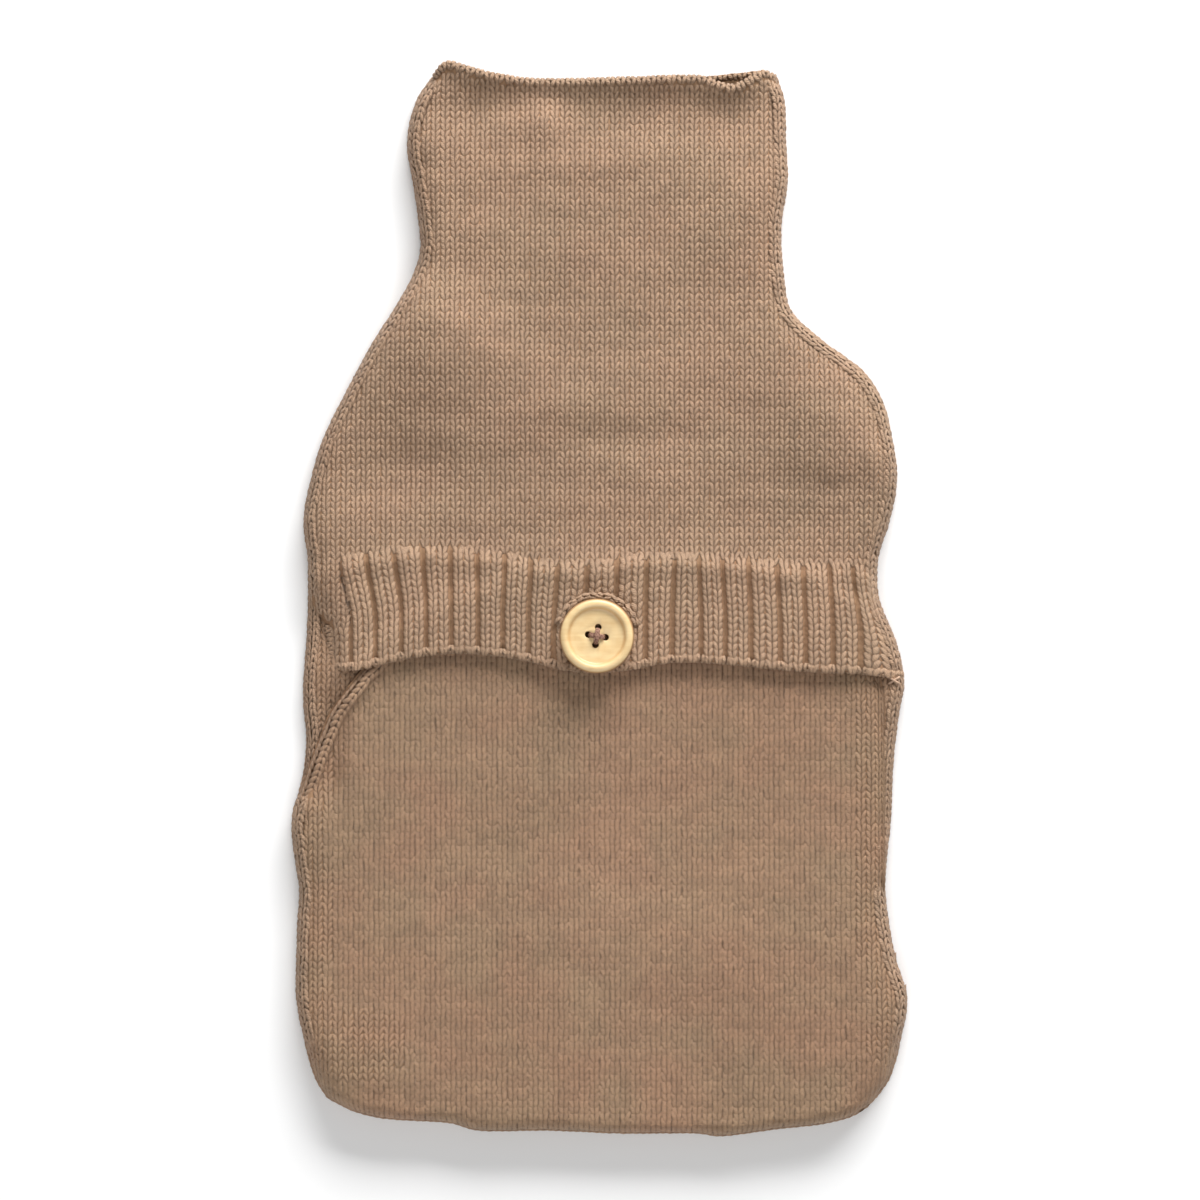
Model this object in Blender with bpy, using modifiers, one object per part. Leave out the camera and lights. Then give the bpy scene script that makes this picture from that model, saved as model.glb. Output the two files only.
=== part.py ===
"""Knitted hot water bottle cover, empty and lying flat on its back.

Three knitted panels are sewn together at the sides and the bottom: a back, a lower front, and an upper
front that ends in a ribbed flap. The flap laps over the lower front and is held by one wooden button.
Seen from above, +X points right and +Y points to the neck; +Z is up. Lengths are in millimetres, and
the meshes are scaled to metres as they are made.
"""

import math

import bmesh
import bpy
from mathutils import Vector

MM = 0.001

# Cloth
CLOTH = 2.0
CLEARANCE = 0.3
RIM_DROP = 0.5
OUTLINE_STEP = 5.0
SEAT = CLOTH + CLEARANCE + RIM_DROP
CROWN = 8.4
CROWN_REACH = 14.0
FLAP_LIFT = 2.7
LIFT_START = 11.0
LIFT_END = 3.0
FOLDS_FADE = 10.0

# Ribbed flap: heights of the rib band and of its ribs
RIB_HEIGHT = 1.1
RIB_SHOULDER = 0.75
RIB_SHOULDER_PLACE = 0.2
RIB_CUTS = 3
RIB_FLAT_RADIUS = 10.5
RIB_FULL_RADIUS = 16.0

# Rolled edges, as a bead along the edge and a trough behind it
ROLL_HEIGHT = 1.3
ROLL_CENTRE = 2.2
ROLL_WIDTH = 2.0
TROUGH_DEPTH = 0.9
TROUGH_CENTRE = 7.5
TROUGH_WIDTH = 3.0
ROLL_HIDDEN = -74.0
ROLL_FADE = 10.0

# Left opening, where the loose cloth sinks towards the back: place, extent and share of the height
SAG_START = -84.5
SAG_REACH = 8.0
SAG_LOW = -75.0
SAG_HIGH = 10.0
SAG_FADE = 15.0
SAG = 0.5

# Button and its thread
BUTTON_X = -0.9
BUTTON_Y = -12.4
BUTTON_RADIUS = 12.7
BUTTON_THICKNESS = 4.2
BUTTON_STEPS = 48
BUTTON_GAP = 1.15
RECESS_RADIUS = 9.4
RECESS_FLOOR = 2.5
HOLE_RADIUS = 1.1
HOLE_CIRCLE = 3.0
HOLE_TURN = math.radians(-9)
THREAD_RADIUS = 0.75
SHANK_RADIUS = 1.9
SHANK_SPREAD = 4.2
BUTTONHOLE_WIDTH = 5.0
BUTTONHOLE_LENGTH = 16.0

# Silhouette seen from above. Columns: height y, left x, right x. Rows run from the bottom to the neck.
SILHOUETTE = (
    (-170.5, -93.0, 94.5),
    (-164.0, -97.0, 99.0),
    (-150.0, -101.0, 103.0),
    (-136.5, -103.5, 105.0),
    (-123.0, -103.5, 101.0),
    (-109.5, -103.0, 98.5),
    (-99.0, -102.5, 97.5),
    (-89.0, -104.0, 98.0),
    (-75.0, -105.0, 99.5),
    (-61.5, -101.5, 100.0),
    (-48.0, -100.0, 101.0),
    (-37.5, -101.0, 102.5),
    (-27.5, -101.0, 104.0),
    (-14.0, -100.0, 101.0),
    (0.0, -99.5, 95.5),
    (13.5, -99.5, 95.0),
    (27.0, -101.0, 99.0),
    (41.0, -98.5, 101.5),
    (54.5, -94.5, 100.0),
    (68.0, -88.0, 96.5),
    (78.5, -82.5, 89.5),
    (88.5, -77.0, 76.0),
    (98.5, -70.5, 65.5),
    (109.0, -64.5, 63.0),
    (119.0, -61.0, 62.0),
    (129.5, -61.5, 62.0),
    (143.0, -63.5, 64.0),
    (156.5, -65.5, 63.5),
    (170.5, -62.5, 63.0),
    (179.0, -57.0, 60.5),
)

# Bottom edge and neck edge between the end points of the silhouette. Columns: x, y.
BOTTOM_EDGE = (
    (-93.0, -170.5),
    (-84.0, -175.0),
    (-73.0, -177.5),
    (-51.0, -179.0),
    (-42.0, -181.5),
    (-17.0, -181.5),
    (7.0, -182.5),
    (34.0, -182.5),
    (41.0, -183.5),
    (61.0, -181.0),
    (78.0, -179.0),
    (89.0, -175.5),
    (94.5, -170.5),
)
BACK_NECK_EDGE = (
    (-57.0, 179.0),
    (-54.0, 182.5),
    (-51.0, 183.5),
    (-46.0, 182.0),
    (-36.5, 179.5),
    (-22.5, 177.5),
    (11.0, 178.0),
    (35.0, 179.0),
    (50.0, 180.5),
    (56.0, 181.0),
    (60.5, 179.0),
)
FRONT_NECK_EDGE = (
    (-57.0, 179.0),
    (-54.0, 182.5),
    (-51.0, 183.5),
    (-46.0, 182.0),
    (-36.5, 179.5),
    (-22.5, 177.5),
    (11.0, 178.0),
    (34.0, 178.5),
    (40.0, 176.5),
    (46.0, 175.5),
    (52.0, 178.5),
    (56.0, 180.5),
    (60.5, 179.0),
)

# Upper front. Its left corner is free of the seam near the flap's edge. Columns: y, left x.
FLAP_LEFT_EDGE = (
    (-24.0, -93.0),
    (-15.0, -92.8),
    (-10.0, -93.8),
    (-6.5, -96.0),
    (-3.0, -98.4),
    (1.5, -99.5),
)
FLAP_LOW_EDGE = (
    (-93.0, -24.0),
    (-81.5, -23.5),
    (-71.0, -21.0),
    (-61.0, -19.0),
    (-48.0, -18.0),
    (-34.0, -19.0),
    (-23.0, -21.0),
    (-12.5, -23.5),
    (-1.5, -24.5),
    (11.0, -23.5),
    (21.0, -21.5),
    (32.5, -21.0),
    (46.5, -22.0),
    (61.0, -23.5),
    (75.0, -24.5),
    (89.0, -25.0),
    (103.5, -27.0),
)

# Heights of the rows of the upper front, from the flap's edge to the neck.
FLAP_ROWS = (-24.0, -22.5, -19.0, -13.5, -7.5, -2.0, 4.5, 10.0, 13.5)
SHOULDER_ROWS = (16.0, 21.0, 28.0, 35.0, 42.0, 49.0, 56.0, 63.0, 70.0, 77.0, 84.0, 91.0, 98.0, 105.0)
NECK_ROWS = (112.0, 119.5, 127.5, 136.0, 145.0, 154.0, 161.5, 167.0, 171.0, 174.5, 177.0, 179.0)

# Columns of the upper front as shares of its width, where it turns down to the seam at its sides.
SEAM_SHARES = (0.0, 0.002, 0.008, 0.022)
LAST_SHARES_HIGH = (0.981, 0.990, 0.9965, 1.0)
LAST_SHARES_LOW = (0.962, 0.985, 0.9965, 1.0)

# Valleys between the ribs. Columns: x at the top of the band, x at the flap's edge. The ribs have come to
# their lower places at a distance below the top of the band.
RIB_TURN = 24.0
RIB_VALLEYS = (
    (-88.8, -84.8),
    (-79.6, -76.4),
    (-70.2, -67.5),
    (-60.4, -59.1),
    (-50.9, -50.6),
    (-41.8, -41.4),
    (-32.3, -33.0),
    (-23.5, -24.2),
    (-14.4, -15.7),
    (-4.3, -5.3),
    (6.0, 5.2),
    (16.0, 15.6),
    (25.6, 24.6),
    (33.9, 34.6),
    (41.8, 42.8),
    (50.8, 51.5),
    (60.5, 61.6),
    (69.4, 70.1),
    (78.4, 79.5),
    (86.3, 88.8),
)

# Lower front. Columns: y, right x. It follows the silhouette below the first row.
LOWER_RIGHT_EDGE = (
    (-99.0, 97.5),
    (-89.0, 97.0),
    (-68.0, 96.5),
    (-48.0, 96.0),
    (-31.0, 95.0),
    (-20.0, 93.5),
    (-9.0, 92.0),
)
LOWER_TOP_EDGE = (
    (-102.5, -68.5),
    (-99.5, -60.0),
    (-97.0, -52.5),
    (-94.0, -45.5),
    (-91.0, -38.5),
    (-87.5, -33.5),
    (-84.0, -29.0),
    (-80.5, -24.5),
    (-73.0, -17.5),
    (-58.0, -8.5),
    (-40.0, -1.5),
    (-20.0, 5.0),
    (0.0, 7.5),
    (34.0, 8.0),
    (68.0, 3.0),
    (92.0, -9.0),
)
LOWER_LEFT_TOP = -68.5
LOWER_ROWS = (
    0.0, 0.003, 0.012, 0.035, 0.075, 0.13, 0.19, 0.25, 0.31, 0.37, 0.43,
    0.49, 0.55, 0.61, 0.67, 0.73, 0.79, 0.85, 0.90, 0.94, 0.97, 0.988, 1.0,
)
LOWER_SHARES = (0.0, 0.002, 0.008, 0.022, 0.045)
LOWER_MIDDLE_COLUMNS = 18

# Soft folds of the front. Columns: x, y, half length, half width, direction in degrees, height.
FOLDS = (
    (-47.0, 88.0, 17.0, 8.0, -25.0, 2.4),
    (-71.0, 64.0, 13.0, 17.0, 0.0, -1.5),
    (-7.0, 67.0, 30.0, 7.0, 16.0, 1.3),
    (-3.0, 54.0, 30.0, 7.0, 14.0, -0.7),
    (79.0, 60.0, 17.0, 8.0, -48.0, 1.9),
    (94.0, 59.0, 5.0, 5.0, 0.0, -1.0),
    (96.0, 50.0, 6.0, 5.0, 0.0, 1.1),
    (46.0, 134.0, 14.0, 8.0, 22.0, 1.4),
    (-20.0, 167.0, 9.0, 4.5, 8.0, 1.2),
    (-50.0, 168.0, 6.0, 6.0, 0.0, -0.9),
    (10.0, 146.0, 34.0, 7.0, 5.0, 0.7),
    (0.0, 24.0, 70.0, 6.0, 2.0, -0.5),
    (-80.0, -157.0, 16.0, 8.0, -28.0, 1.5),
    (-93.0, -113.0, 8.0, 22.0, 0.0, -0.8),
    (96.0, -143.0, 7.0, 12.0, 0.0, 1.2),
    (-35.0, -68.0, 30.0, 12.0, 12.0, 0.7),
    (30.0, -122.0, 40.0, 14.0, -10.0, 0.6),
    (52.0, -60.0, 26.0, 12.0, -20.0, -0.5),
)


def lerp(low, high, share):
    return low + (high - low) * share


def smoothstep(share):
    share = min(1.0, max(0.0, share))
    return share * share * (3.0 - 2.0 * share)


def through(table, at, column=1):
    """Value at a place on the smooth curve through one column of a table, whose first column rises."""
    last = len(table) - 1
    at = min(max(at, table[0][0]), table[last][0])
    row = 0
    while row < last - 1 and at > table[row + 1][0]:
        row += 1
    start, end = table[row], table[row + 1]
    before, after = table[max(row - 1, 0)], table[min(row + 2, last)]
    span = end[0] - start[0]
    slope_start = (end[column] - before[column]) / (end[0] - before[0]) * span
    slope_end = (after[column] - start[column]) / (after[0] - start[0]) * span
    share = (at - start[0]) / span
    square, cube = share * share, share * share * share
    return (
        (2 * cube - 3 * square + 1) * start[column]
        + (cube - 2 * square + share) * slope_start
        + (3 * square - 2 * cube) * end[column]
        + (cube - square) * slope_end
    )


def side(table, lowest, highest, column=1):
    """Points up one side of the outline, between two heights."""
    count = max(1, round((highest - lowest) / OUTLINE_STEP))
    heights = [lerp(lowest, highest, index / count) for index in range(count + 1)]
    return [Vector((through(table, y, column), y)) for y in heights]


def along(table):
    """Points along an edge that runs across, from its left end to its right end."""
    count = max(1, round((table[-1][0] - table[0][0]) / OUTLINE_STEP))
    places = [lerp(table[0][0], table[-1][0], index / count) for index in range(count + 1)]
    return [Vector((x, through(table, x))) for x in places]


def distance_to(line, point):
    """Shortest distance from a point to a chain of points."""
    nearest = math.inf
    for start, end in zip(line, line[1:]):
        run = end - start
        share = min(1.0, max(0.0, (point - start).dot(run) / max(run.length_squared, 1e-9)))
        nearest = min(nearest, (point - start - share * run).length)
    return nearest


def seam_rise(distance):
    """Share of the crown that the cloth has reached at a distance from its seam, on a quarter ellipse."""
    left = max(0.0, 1.0 - distance / CROWN_REACH)
    return math.sqrt(max(0.0, 1.0 - left * left))


def folds(x, y):
    """Height of the soft folds at a place."""
    total = 0.0
    for fold_x, fold_y, half_length, half_width, direction, height in FOLDS:
        turn = math.radians(direction)
        across, up = x - fold_x, y - fold_y
        length = (across * math.cos(turn) + up * math.sin(turn)) / half_length
        width = (up * math.cos(turn) - across * math.sin(turn)) / half_width
        total += height * math.exp(-0.5 * (length * length + width * width))
    return total


def sag(x, y):
    """Share of its height that the loose cloth loses at the left opening."""
    in_rows = smoothstep((y - SAG_LOW) / SAG_FADE) * smoothstep((SAG_HIGH - y) / SAG_FADE)
    return SAG * in_rows * smoothstep((SAG_START - x) / SAG_REACH)


def roll(distance):
    """Height of a rolled edge, with the trough behind it, at a distance from the edge."""
    bead = ROLL_HEIGHT * math.exp(-(((distance - ROLL_CENTRE) / ROLL_WIDTH) ** 2))
    trough = TROUGH_DEPTH * math.exp(-(((distance - TROUGH_CENTRE) / TROUGH_WIDTH) ** 2))
    return bead - trough


def patch_point(share, rise, left, right, low_edge, high_edge):
    """Place on a four-sided patch. left and right are its side points at this rise; the sides' ends are
    the ends of the low and the high edge."""
    x = lerp(left.x, right.x, share)
    y = lerp(left.y, right.y, share)
    for edge, weight in ((low_edge, 1.0 - rise), (high_edge, rise)):
        start, end = edge[0], edge[-1]
        straight = lerp(start[1], end[1], share)
        y += weight * (through(edge, lerp(start[0], end[0], share)) - straight)
    return Vector((x, y))


def material(name, colour, roughness):
    made = bpy.data.materials.new(name)
    made.use_nodes = True
    shader = made.node_tree.nodes["Principled BSDF"]
    shader.inputs["Base Color"].default_value = (*colour, 1.0)
    shader.inputs["Roughness"].default_value = roughness
    shader.inputs["Metallic"].default_value = 0.0
    return made


def add_object(name, bm, collection, surface=None):
    """Object made from a bmesh whose points are in millimetres."""
    bmesh.ops.scale(bm, vec=(MM, MM, MM), verts=bm.verts)
    mesh = bpy.data.meshes.new(name)
    bm.to_mesh(mesh)
    bm.free()
    made = bpy.data.objects.new(name, mesh)
    collection.objects.link(made)
    if surface:
        mesh.materials.append(surface)
    return made


def add_helper(name, bm, collection):
    """Cutter or union piece, which isn't a part of the cover."""
    made = add_object(name, bm, collection)
    made.hide_render = True
    made.display_type = "WIRE"
    return made


def counting_grid(columns, rows):
    """Grid whose points stand at whole numbers: x counts its columns and y its rows."""
    bm = bmesh.new()
    bmesh.ops.create_grid(bm, x_segments=columns, y_segments=rows, size=0.5)
    for vert in bm.verts:
        vert.co.x = round((vert.co.x + 0.5) * columns)
        vert.co.y = round((vert.co.y + 0.5) * rows)
    return bm


def thicken(bm):
    """Gives the outer face of a panel the cloth's thickness, inward, and keeps it off the back panel."""
    bmesh.ops.solidify(bm, geom=bm.faces, thickness=CLOTH)
    for vert in bm.verts:
        vert.co.z = max(vert.co.z, CLOTH + CLEARANCE)
    bmesh.ops.recalc_face_normals(bm, faces=bm.faces)


def boolean(target, helper, operation):
    cut = target.modifiers.new(helper.name, "BOOLEAN")
    cut.object = helper
    cut.operation = operation
    cut.solver = "EXACT"


def flap_left(y):
    """Left edge of the upper front: free beside the rib band, and sewn to the side above it."""
    if y < FLAP_LEFT_EDGE[-1][0]:
        return through(FLAP_LEFT_EDGE, y)
    return through(SILHOUETTE, y)


def lower_right(y):
    """Right edge of the lower front, which leaves the silhouette where the back shows beside it."""
    if y > LOWER_RIGHT_EDGE[0][0]:
        return through(LOWER_RIGHT_EDGE, y)
    return through(SILHOUETTE, y, 2)


def lower_height(x, y, seam, top_edge):
    """Height of the outer face of the lower front."""
    place = Vector((x, y))
    in_sight = smoothstep((ROLL_HIDDEN - x) / ROLL_FADE)
    crown = CROWN * (1.0 - sag(x, y)) + folds(x, y) + in_sight * roll(distance_to(top_edge, place))
    return SEAT + crown * seam_rise(distance_to(seam, place))


def make_back(collection, surface):
    """The back: one flat panel with the whole silhouette."""
    bottom, top = SILHOUETTE[0][0], SILHOUETTE[-1][0]
    outline = side(SILHOUETTE, bottom, top, 2)
    outline += along(BACK_NECK_EDGE)[-2:0:-1]
    outline += side(SILHOUETTE, bottom, top)[::-1]
    outline += along(BOTTOM_EDGE)[1:-1]
    curve = bpy.data.curves.new("back outline", "CURVE")
    curve.dimensions = "2D"
    curve.fill_mode = "BOTH"
    curve.extrude = CLOTH * MM / 2
    line = curve.splines.new("POLY")
    line.points.add(len(outline) - 1)
    for point, place in zip(line.points, outline):
        point.co = (place.x * MM, place.y * MM, 0.0, 1.0)
    line.use_cyclic_u = True
    curve.materials.append(surface)
    flat = bpy.data.objects.new("back_outline", curve)
    collection.objects.link(flat)
    graph = bpy.context.evaluated_depsgraph_get()
    mesh = bpy.data.meshes.new_from_object(flat.evaluated_get(graph))
    bpy.data.objects.remove(flat)
    mesh.name = "back_panel"
    bm = bmesh.new()
    bm.from_mesh(mesh)
    bmesh.ops.remove_doubles(bm, verts=bm.verts, dist=1e-6)
    bm.to_mesh(mesh)
    bm.free()
    back = bpy.data.objects.new("back_panel", mesh)
    back.location.z = CLOTH * MM / 2
    collection.objects.link(back)
    return back


def make_lower_front(collection, surface):
    """The lower front: sewn down both sides and the bottom, and free along its rolled top edge."""
    bottom = SILHOUETTE[0][0]
    right_top = LOWER_RIGHT_EDGE[-1][0]
    seam = side(SILHOUETTE, bottom, FLAP_ROWS[-1])[::-1]
    seam += along(BOTTOM_EDGE)[1:-1]
    seam += [Vector((lower_right(place.y), place.y)) for place in side(SILHOUETTE, bottom, right_top, 2)]
    top_edge = along(LOWER_TOP_EDGE)
    middle = [
        lerp(LOWER_SHARES[-1], 1.0 - LOWER_SHARES[-1], index / LOWER_MIDDLE_COLUMNS)
        for index in range(1, LOWER_MIDDLE_COLUMNS)
    ]
    shares = [*LOWER_SHARES, *middle, *[1.0 - share for share in reversed(LOWER_SHARES)]]
    bm = counting_grid(len(shares) - 1, len(LOWER_ROWS) - 1)
    for vert in bm.verts:
        share = shares[round(vert.co.x)]
        rise = LOWER_ROWS[round(vert.co.y)]
        left_y = lerp(bottom, LOWER_LEFT_TOP, rise)
        right_y = lerp(bottom, right_top, rise)
        left = Vector((through(SILHOUETTE, left_y), left_y))
        right = Vector((lower_right(right_y), right_y))
        place = patch_point(share, rise, left, right, BOTTOM_EDGE, LOWER_TOP_EDGE)
        vert.co = (place.x, place.y, lower_height(place.x, place.y, seam, top_edge))
    thicken(bm)
    panel = add_object("lower_front", bm, collection, surface)
    panel.data.shade_smooth()
    return panel


def upper_shares(level, left, right):
    """Columns of the upper front as shares of its width, at one height. left and right are its sides."""
    on_band = smoothstep((FLAP_ROWS[-1] - level) / RIB_TURN)
    if on_band == 0.0:
        left, right = flap_left(FLAP_ROWS[-1]), through(SILHOUETTE, FLAP_ROWS[-1], 2)
    valleys = [(lerp(high, low, on_band) - left) / (right - left) for high, low in RIB_VALLEYS]
    last = [lerp(high, low, on_band) for high, low in zip(LAST_SHARES_HIGH, LAST_SHARES_LOW)]
    return [*SEAM_SHARES, *valleys, *last]


def split_ribs(bm, first, last, top):
    """Splits each rib between two valleys into four, so that it can stand up from the cloth."""
    across = []
    for edge in bm.edges:
        start, end = sorted((vert.co.copy() for vert in edge.verts), key=lambda co: co.x)
        if start.y == end.y and start.y <= top and first <= start.x and end.x <= last:
            across.append(edge)
    bmesh.ops.subdivide_edges(bm, edges=across, cuts=RIB_CUTS, use_grid_fill=True)


def rib_profile(part):
    """Place across a rib, and the share of its height there, for a part of the way between two valleys."""
    if part < 0.01:
        return 0.0, 0.0
    if abs(part - 0.5) < 0.1:
        return 0.5, 1.0
    place = RIB_SHOULDER_PLACE if part < 0.5 else 1.0 - RIB_SHOULDER_PLACE
    return place, RIB_SHOULDER


def upper_height(x, y, seam, neck_edge):
    """Height of the outer face of the upper front, without its ribs."""
    place = Vector((x, y))
    above = y - through(LOWER_TOP_EDGE, x)
    lift = FLAP_LIFT * smoothstep((LIFT_START - above) / (LIFT_START - LIFT_END))
    above_band = smoothstep((y - FLAP_ROWS[-1]) / FOLDS_FADE)
    crown = CROWN * (1.0 - sag(x, y)) + lift + above_band * folds(x, y)
    crown += roll(distance_to(neck_edge, place))
    return SEAT + crown * seam_rise(distance_to(seam, place))


def make_upper_front(collection, surface):
    """The upper front: open neck, shoulders, and the ribbed flap at its lower edge."""
    rows = [*FLAP_ROWS, *SHOULDER_ROWS, *NECK_ROWS]
    band_top = len(FLAP_ROWS) - 1
    last_column = len(SEAM_SHARES) + len(RIB_VALLEYS) + len(LAST_SHARES_HIGH) - 1
    left_line = [Vector((flap_left(place.y), place.y)) for place in side(SILHOUETTE, rows[0], rows[-1])]
    right_line = side(SILHOUETTE, FLAP_LOW_EDGE[-1][1], rows[-1], 2)
    neck_edge = along(FRONT_NECK_EDGE)
    bm = counting_grid(last_column, len(rows) - 1)
    split_ribs(bm, len(SEAM_SHARES) - 1, len(SEAM_SHARES) + len(RIB_VALLEYS), band_top - 1)
    for vert in bm.verts:
        column, row = int(vert.co.x + 0.01), round(vert.co.y)
        across, rib = rib_profile(vert.co.x - column)
        rise = (rows[row] - rows[0]) / (rows[-1] - rows[0])
        right_y = lerp(FLAP_LOW_EDGE[-1][1], rows[-1], rise)
        left = Vector((flap_left(rows[row]), rows[row]))
        right = Vector((through(SILHOUETTE, right_y, 2), right_y))
        shares = upper_shares(rows[row], left.x, right.x)
        share = lerp(shares[column], shares[min(column + 1, last_column)], across)
        place = patch_point(share, rise, left, right, FLAP_LOW_EDGE, FRONT_NECK_EDGE)
        seam_distance = min(distance_to(left_line, place), distance_to(right_line, place))
        from_button = math.hypot(place.x - BUTTON_X, place.y - BUTTON_Y)
        rib *= smoothstep((from_button - RIB_FLAT_RADIUS) / (RIB_FULL_RADIUS - RIB_FLAT_RADIUS))
        rib *= seam_rise(seam_distance)
        z = upper_height(place.x, place.y, left_line, neck_edge)
        z = min(z, upper_height(place.x, place.y, right_line, neck_edge))
        vert.co = (place.x, place.y, z + RIB_HEIGHT * rib)
    thicken(bm)
    panel = add_object("upper_front", bm, collection, surface)
    panel.data.shade_smooth()
    return panel


def flap_face():
    """Height of the flap's flat outer face round the button."""
    return SEAT + CROWN + FLAP_LIFT


def make_button(collection, cutters, surface):
    """The button: a turned disc with a rounded rim, a flat recess and four holes."""
    floor = RECESS_FLOOR
    top = BUTTON_THICKNESS
    rim = BUTTON_RADIUS
    profile = (
        (0.0, floor),
        (RECESS_RADIUS - 0.5, floor),
        (RECESS_RADIUS, floor + 0.35),
        (RECESS_RADIUS + 0.7, top - 0.3),
        (RECESS_RADIUS + 1.4, top),
        (rim - 1.1, top - 0.15),
        (rim - 0.25, top - 1.0),
        (rim, top - 2.0),
        (rim - 0.3, 1.0),
        (rim - 1.3, 0.2),
        (rim - 3.0, 0.0),
        (0.0, 0.0),
    )
    bm = bmesh.new()
    ring = [bm.verts.new((radius, 0.0, height)) for radius, height in profile]
    for start, end in zip(ring, ring[1:]):
        bm.edges.new((start, end))
    button = add_object("button", bm, collection, surface)
    turned = button.modifiers.new("turned", "SCREW")
    turned.steps = BUTTON_STEPS
    turned.render_steps = BUTTON_STEPS
    turned.use_merge_vertices = True
    turned.merge_threshold = 0.00001
    base = flap_face() + BUTTON_GAP
    button.location = (BUTTON_X * MM, BUTTON_Y * MM, base * MM)
    holes = bmesh.new()
    for angle in hole_angles():
        rod = bmesh.ops.create_cone(
            holes, cap_ends=True, segments=16, radius1=HOLE_RADIUS, radius2=HOLE_RADIUS, depth=12.0
        )
        shift = Vector((HOLE_CIRCLE * math.cos(angle), HOLE_CIRCLE * math.sin(angle), 0.0))
        bmesh.ops.translate(holes, verts=rod["verts"], vec=shift)
    drill = add_helper("button_drill", holes, cutters)
    drill.location = button.location
    boolean(button, drill, "DIFFERENCE")
    button.data.shade_smooth()
    return button


def hole_angles():
    return [HOLE_TURN + math.radians(90 * quarter) for quarter in (1, 2, 3, 4)]


def make_buttonhole(flap, cutters):
    """The buttonhole: an upright slit through the flap, under the button."""
    bm = bmesh.new()
    bmesh.ops.create_cone(bm, cap_ends=True, segments=20, radius1=0.5, radius2=0.5, depth=10.0)
    bmesh.ops.scale(bm, vec=(BUTTONHOLE_WIDTH, BUTTONHOLE_LENGTH, 1.0), verts=bm.verts)
    slit = add_helper("buttonhole_slit", bm, cutters)
    slit.location = (BUTTON_X * MM, BUTTON_Y * MM, flap_face() * MM)
    boolean(flap, slit, "DIFFERENCE")


def add_stitch(name, angle, arch, cutters):
    """One stitch of the cross: up through a hole, over the recess and down through the opposite hole."""
    base = flap_face() + BUTTON_GAP
    top = base + RECESS_FLOOR + CLEARANCE + THREAD_RADIUS
    low = base - 0.9
    steps = ((1.0, low), (1.0, top - 0.35), (0.84, top), (0.4, top + 0.6 * arch), (0.0, top + arch))
    route = [(share, height) for share, height in steps]
    route += [(-share, height) for share, height in steps[-2::-1]]
    curve = bpy.data.curves.new(name, "CURVE")
    curve.dimensions = "3D"
    curve.bevel_depth = THREAD_RADIUS * MM
    curve.bevel_resolution = 2
    curve.use_fill_caps = True
    line = curve.splines.new("POLY")
    line.points.add(len(route) - 1)
    for point, (share, height) in zip(line.points, route):
        x = BUTTON_X + share * HOLE_CIRCLE * math.cos(angle)
        y = BUTTON_Y + share * HOLE_CIRCLE * math.sin(angle)
        point.co = (x * MM, y * MM, height * MM, 1.0)
    strand = bpy.data.objects.new(name, curve)
    cutters.objects.link(strand)
    graph = bpy.context.evaluated_depsgraph_get()
    mesh = bpy.data.meshes.new_from_object(strand.evaluated_get(graph))
    bpy.data.objects.remove(strand)
    bm = bmesh.new()
    bm.from_mesh(mesh)
    bmesh.ops.remove_doubles(bm, verts=bm.verts, dist=1e-7)
    bmesh.ops.scale(bm, vec=(1 / MM, 1 / MM, 1 / MM), verts=bm.verts)
    return add_helper(name, bm, cutters)


def make_thread(collection, cutters, surface):
    """The thread: a shank from the lower front through the buttonhole, and the cross over the button."""
    foot = SEAT + CROWN + folds(BUTTON_X, BUTTON_Y) + CLEARANCE
    under_button = flap_face() + BUTTON_GAP - CLEARANCE
    bm = bmesh.new()
    bmesh.ops.create_cone(
        bm,
        cap_ends=True,
        segments=20,
        radius1=SHANK_RADIUS,
        radius2=SHANK_RADIUS,
        depth=under_button - foot,
    )
    bmesh.ops.translate(bm, verts=bm.verts, vec=(0.0, 0.0, (under_button + foot) / 2))
    thread = add_object("button_thread", bm, collection, surface)
    thread.location = (BUTTON_X * MM, BUTTON_Y * MM, 0.0)
    bm = bmesh.new()
    depth = 0.6
    bmesh.ops.create_cone(
        bm, cap_ends=True, segments=20, radius1=SHANK_RADIUS + 0.4, radius2=SHANK_SPREAD, depth=depth
    )
    collar = add_helper("shank_collar", bm, cutters)
    collar.location = (BUTTON_X * MM, BUTTON_Y * MM, (under_button - depth / 2) * MM)
    first, second = hole_angles()[:2]
    boolean(thread, collar, "UNION")
    boolean(thread, add_stitch("stitch_across", second, 0.1, cutters), "UNION")
    boolean(thread, add_stitch("stitch_upright", first, 0.9, cutters), "UNION")
    return thread


def main():
    for old in list(bpy.data.objects):
        bpy.data.objects.remove(old)
    cover = bpy.data.collections.new("hot_water_bottle_cover")
    cutters = bpy.data.collections.new("cutters")
    for collection in (cover, cutters):
        bpy.context.scene.collection.children.link(collection)
    knit = material("taupe knit", (0.36, 0.23, 0.155), 0.95)
    rib_knit = material("taupe rib knit", (0.38, 0.25, 0.17), 0.95)
    wood = material("pale wood", (0.80, 0.56, 0.28), 0.45)
    brown = material("brown thread", (0.16, 0.07, 0.035), 0.8)
    make_back(cover, knit)
    make_lower_front(cover, knit)
    flap = make_upper_front(cover, rib_knit)
    make_buttonhole(flap, cutters)
    make_button(cover, cutters, wood)
    make_thread(cover, cutters, brown)


main()
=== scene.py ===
import math

import bmesh
import bpy
import numpy as np
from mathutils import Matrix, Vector, noise


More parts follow.
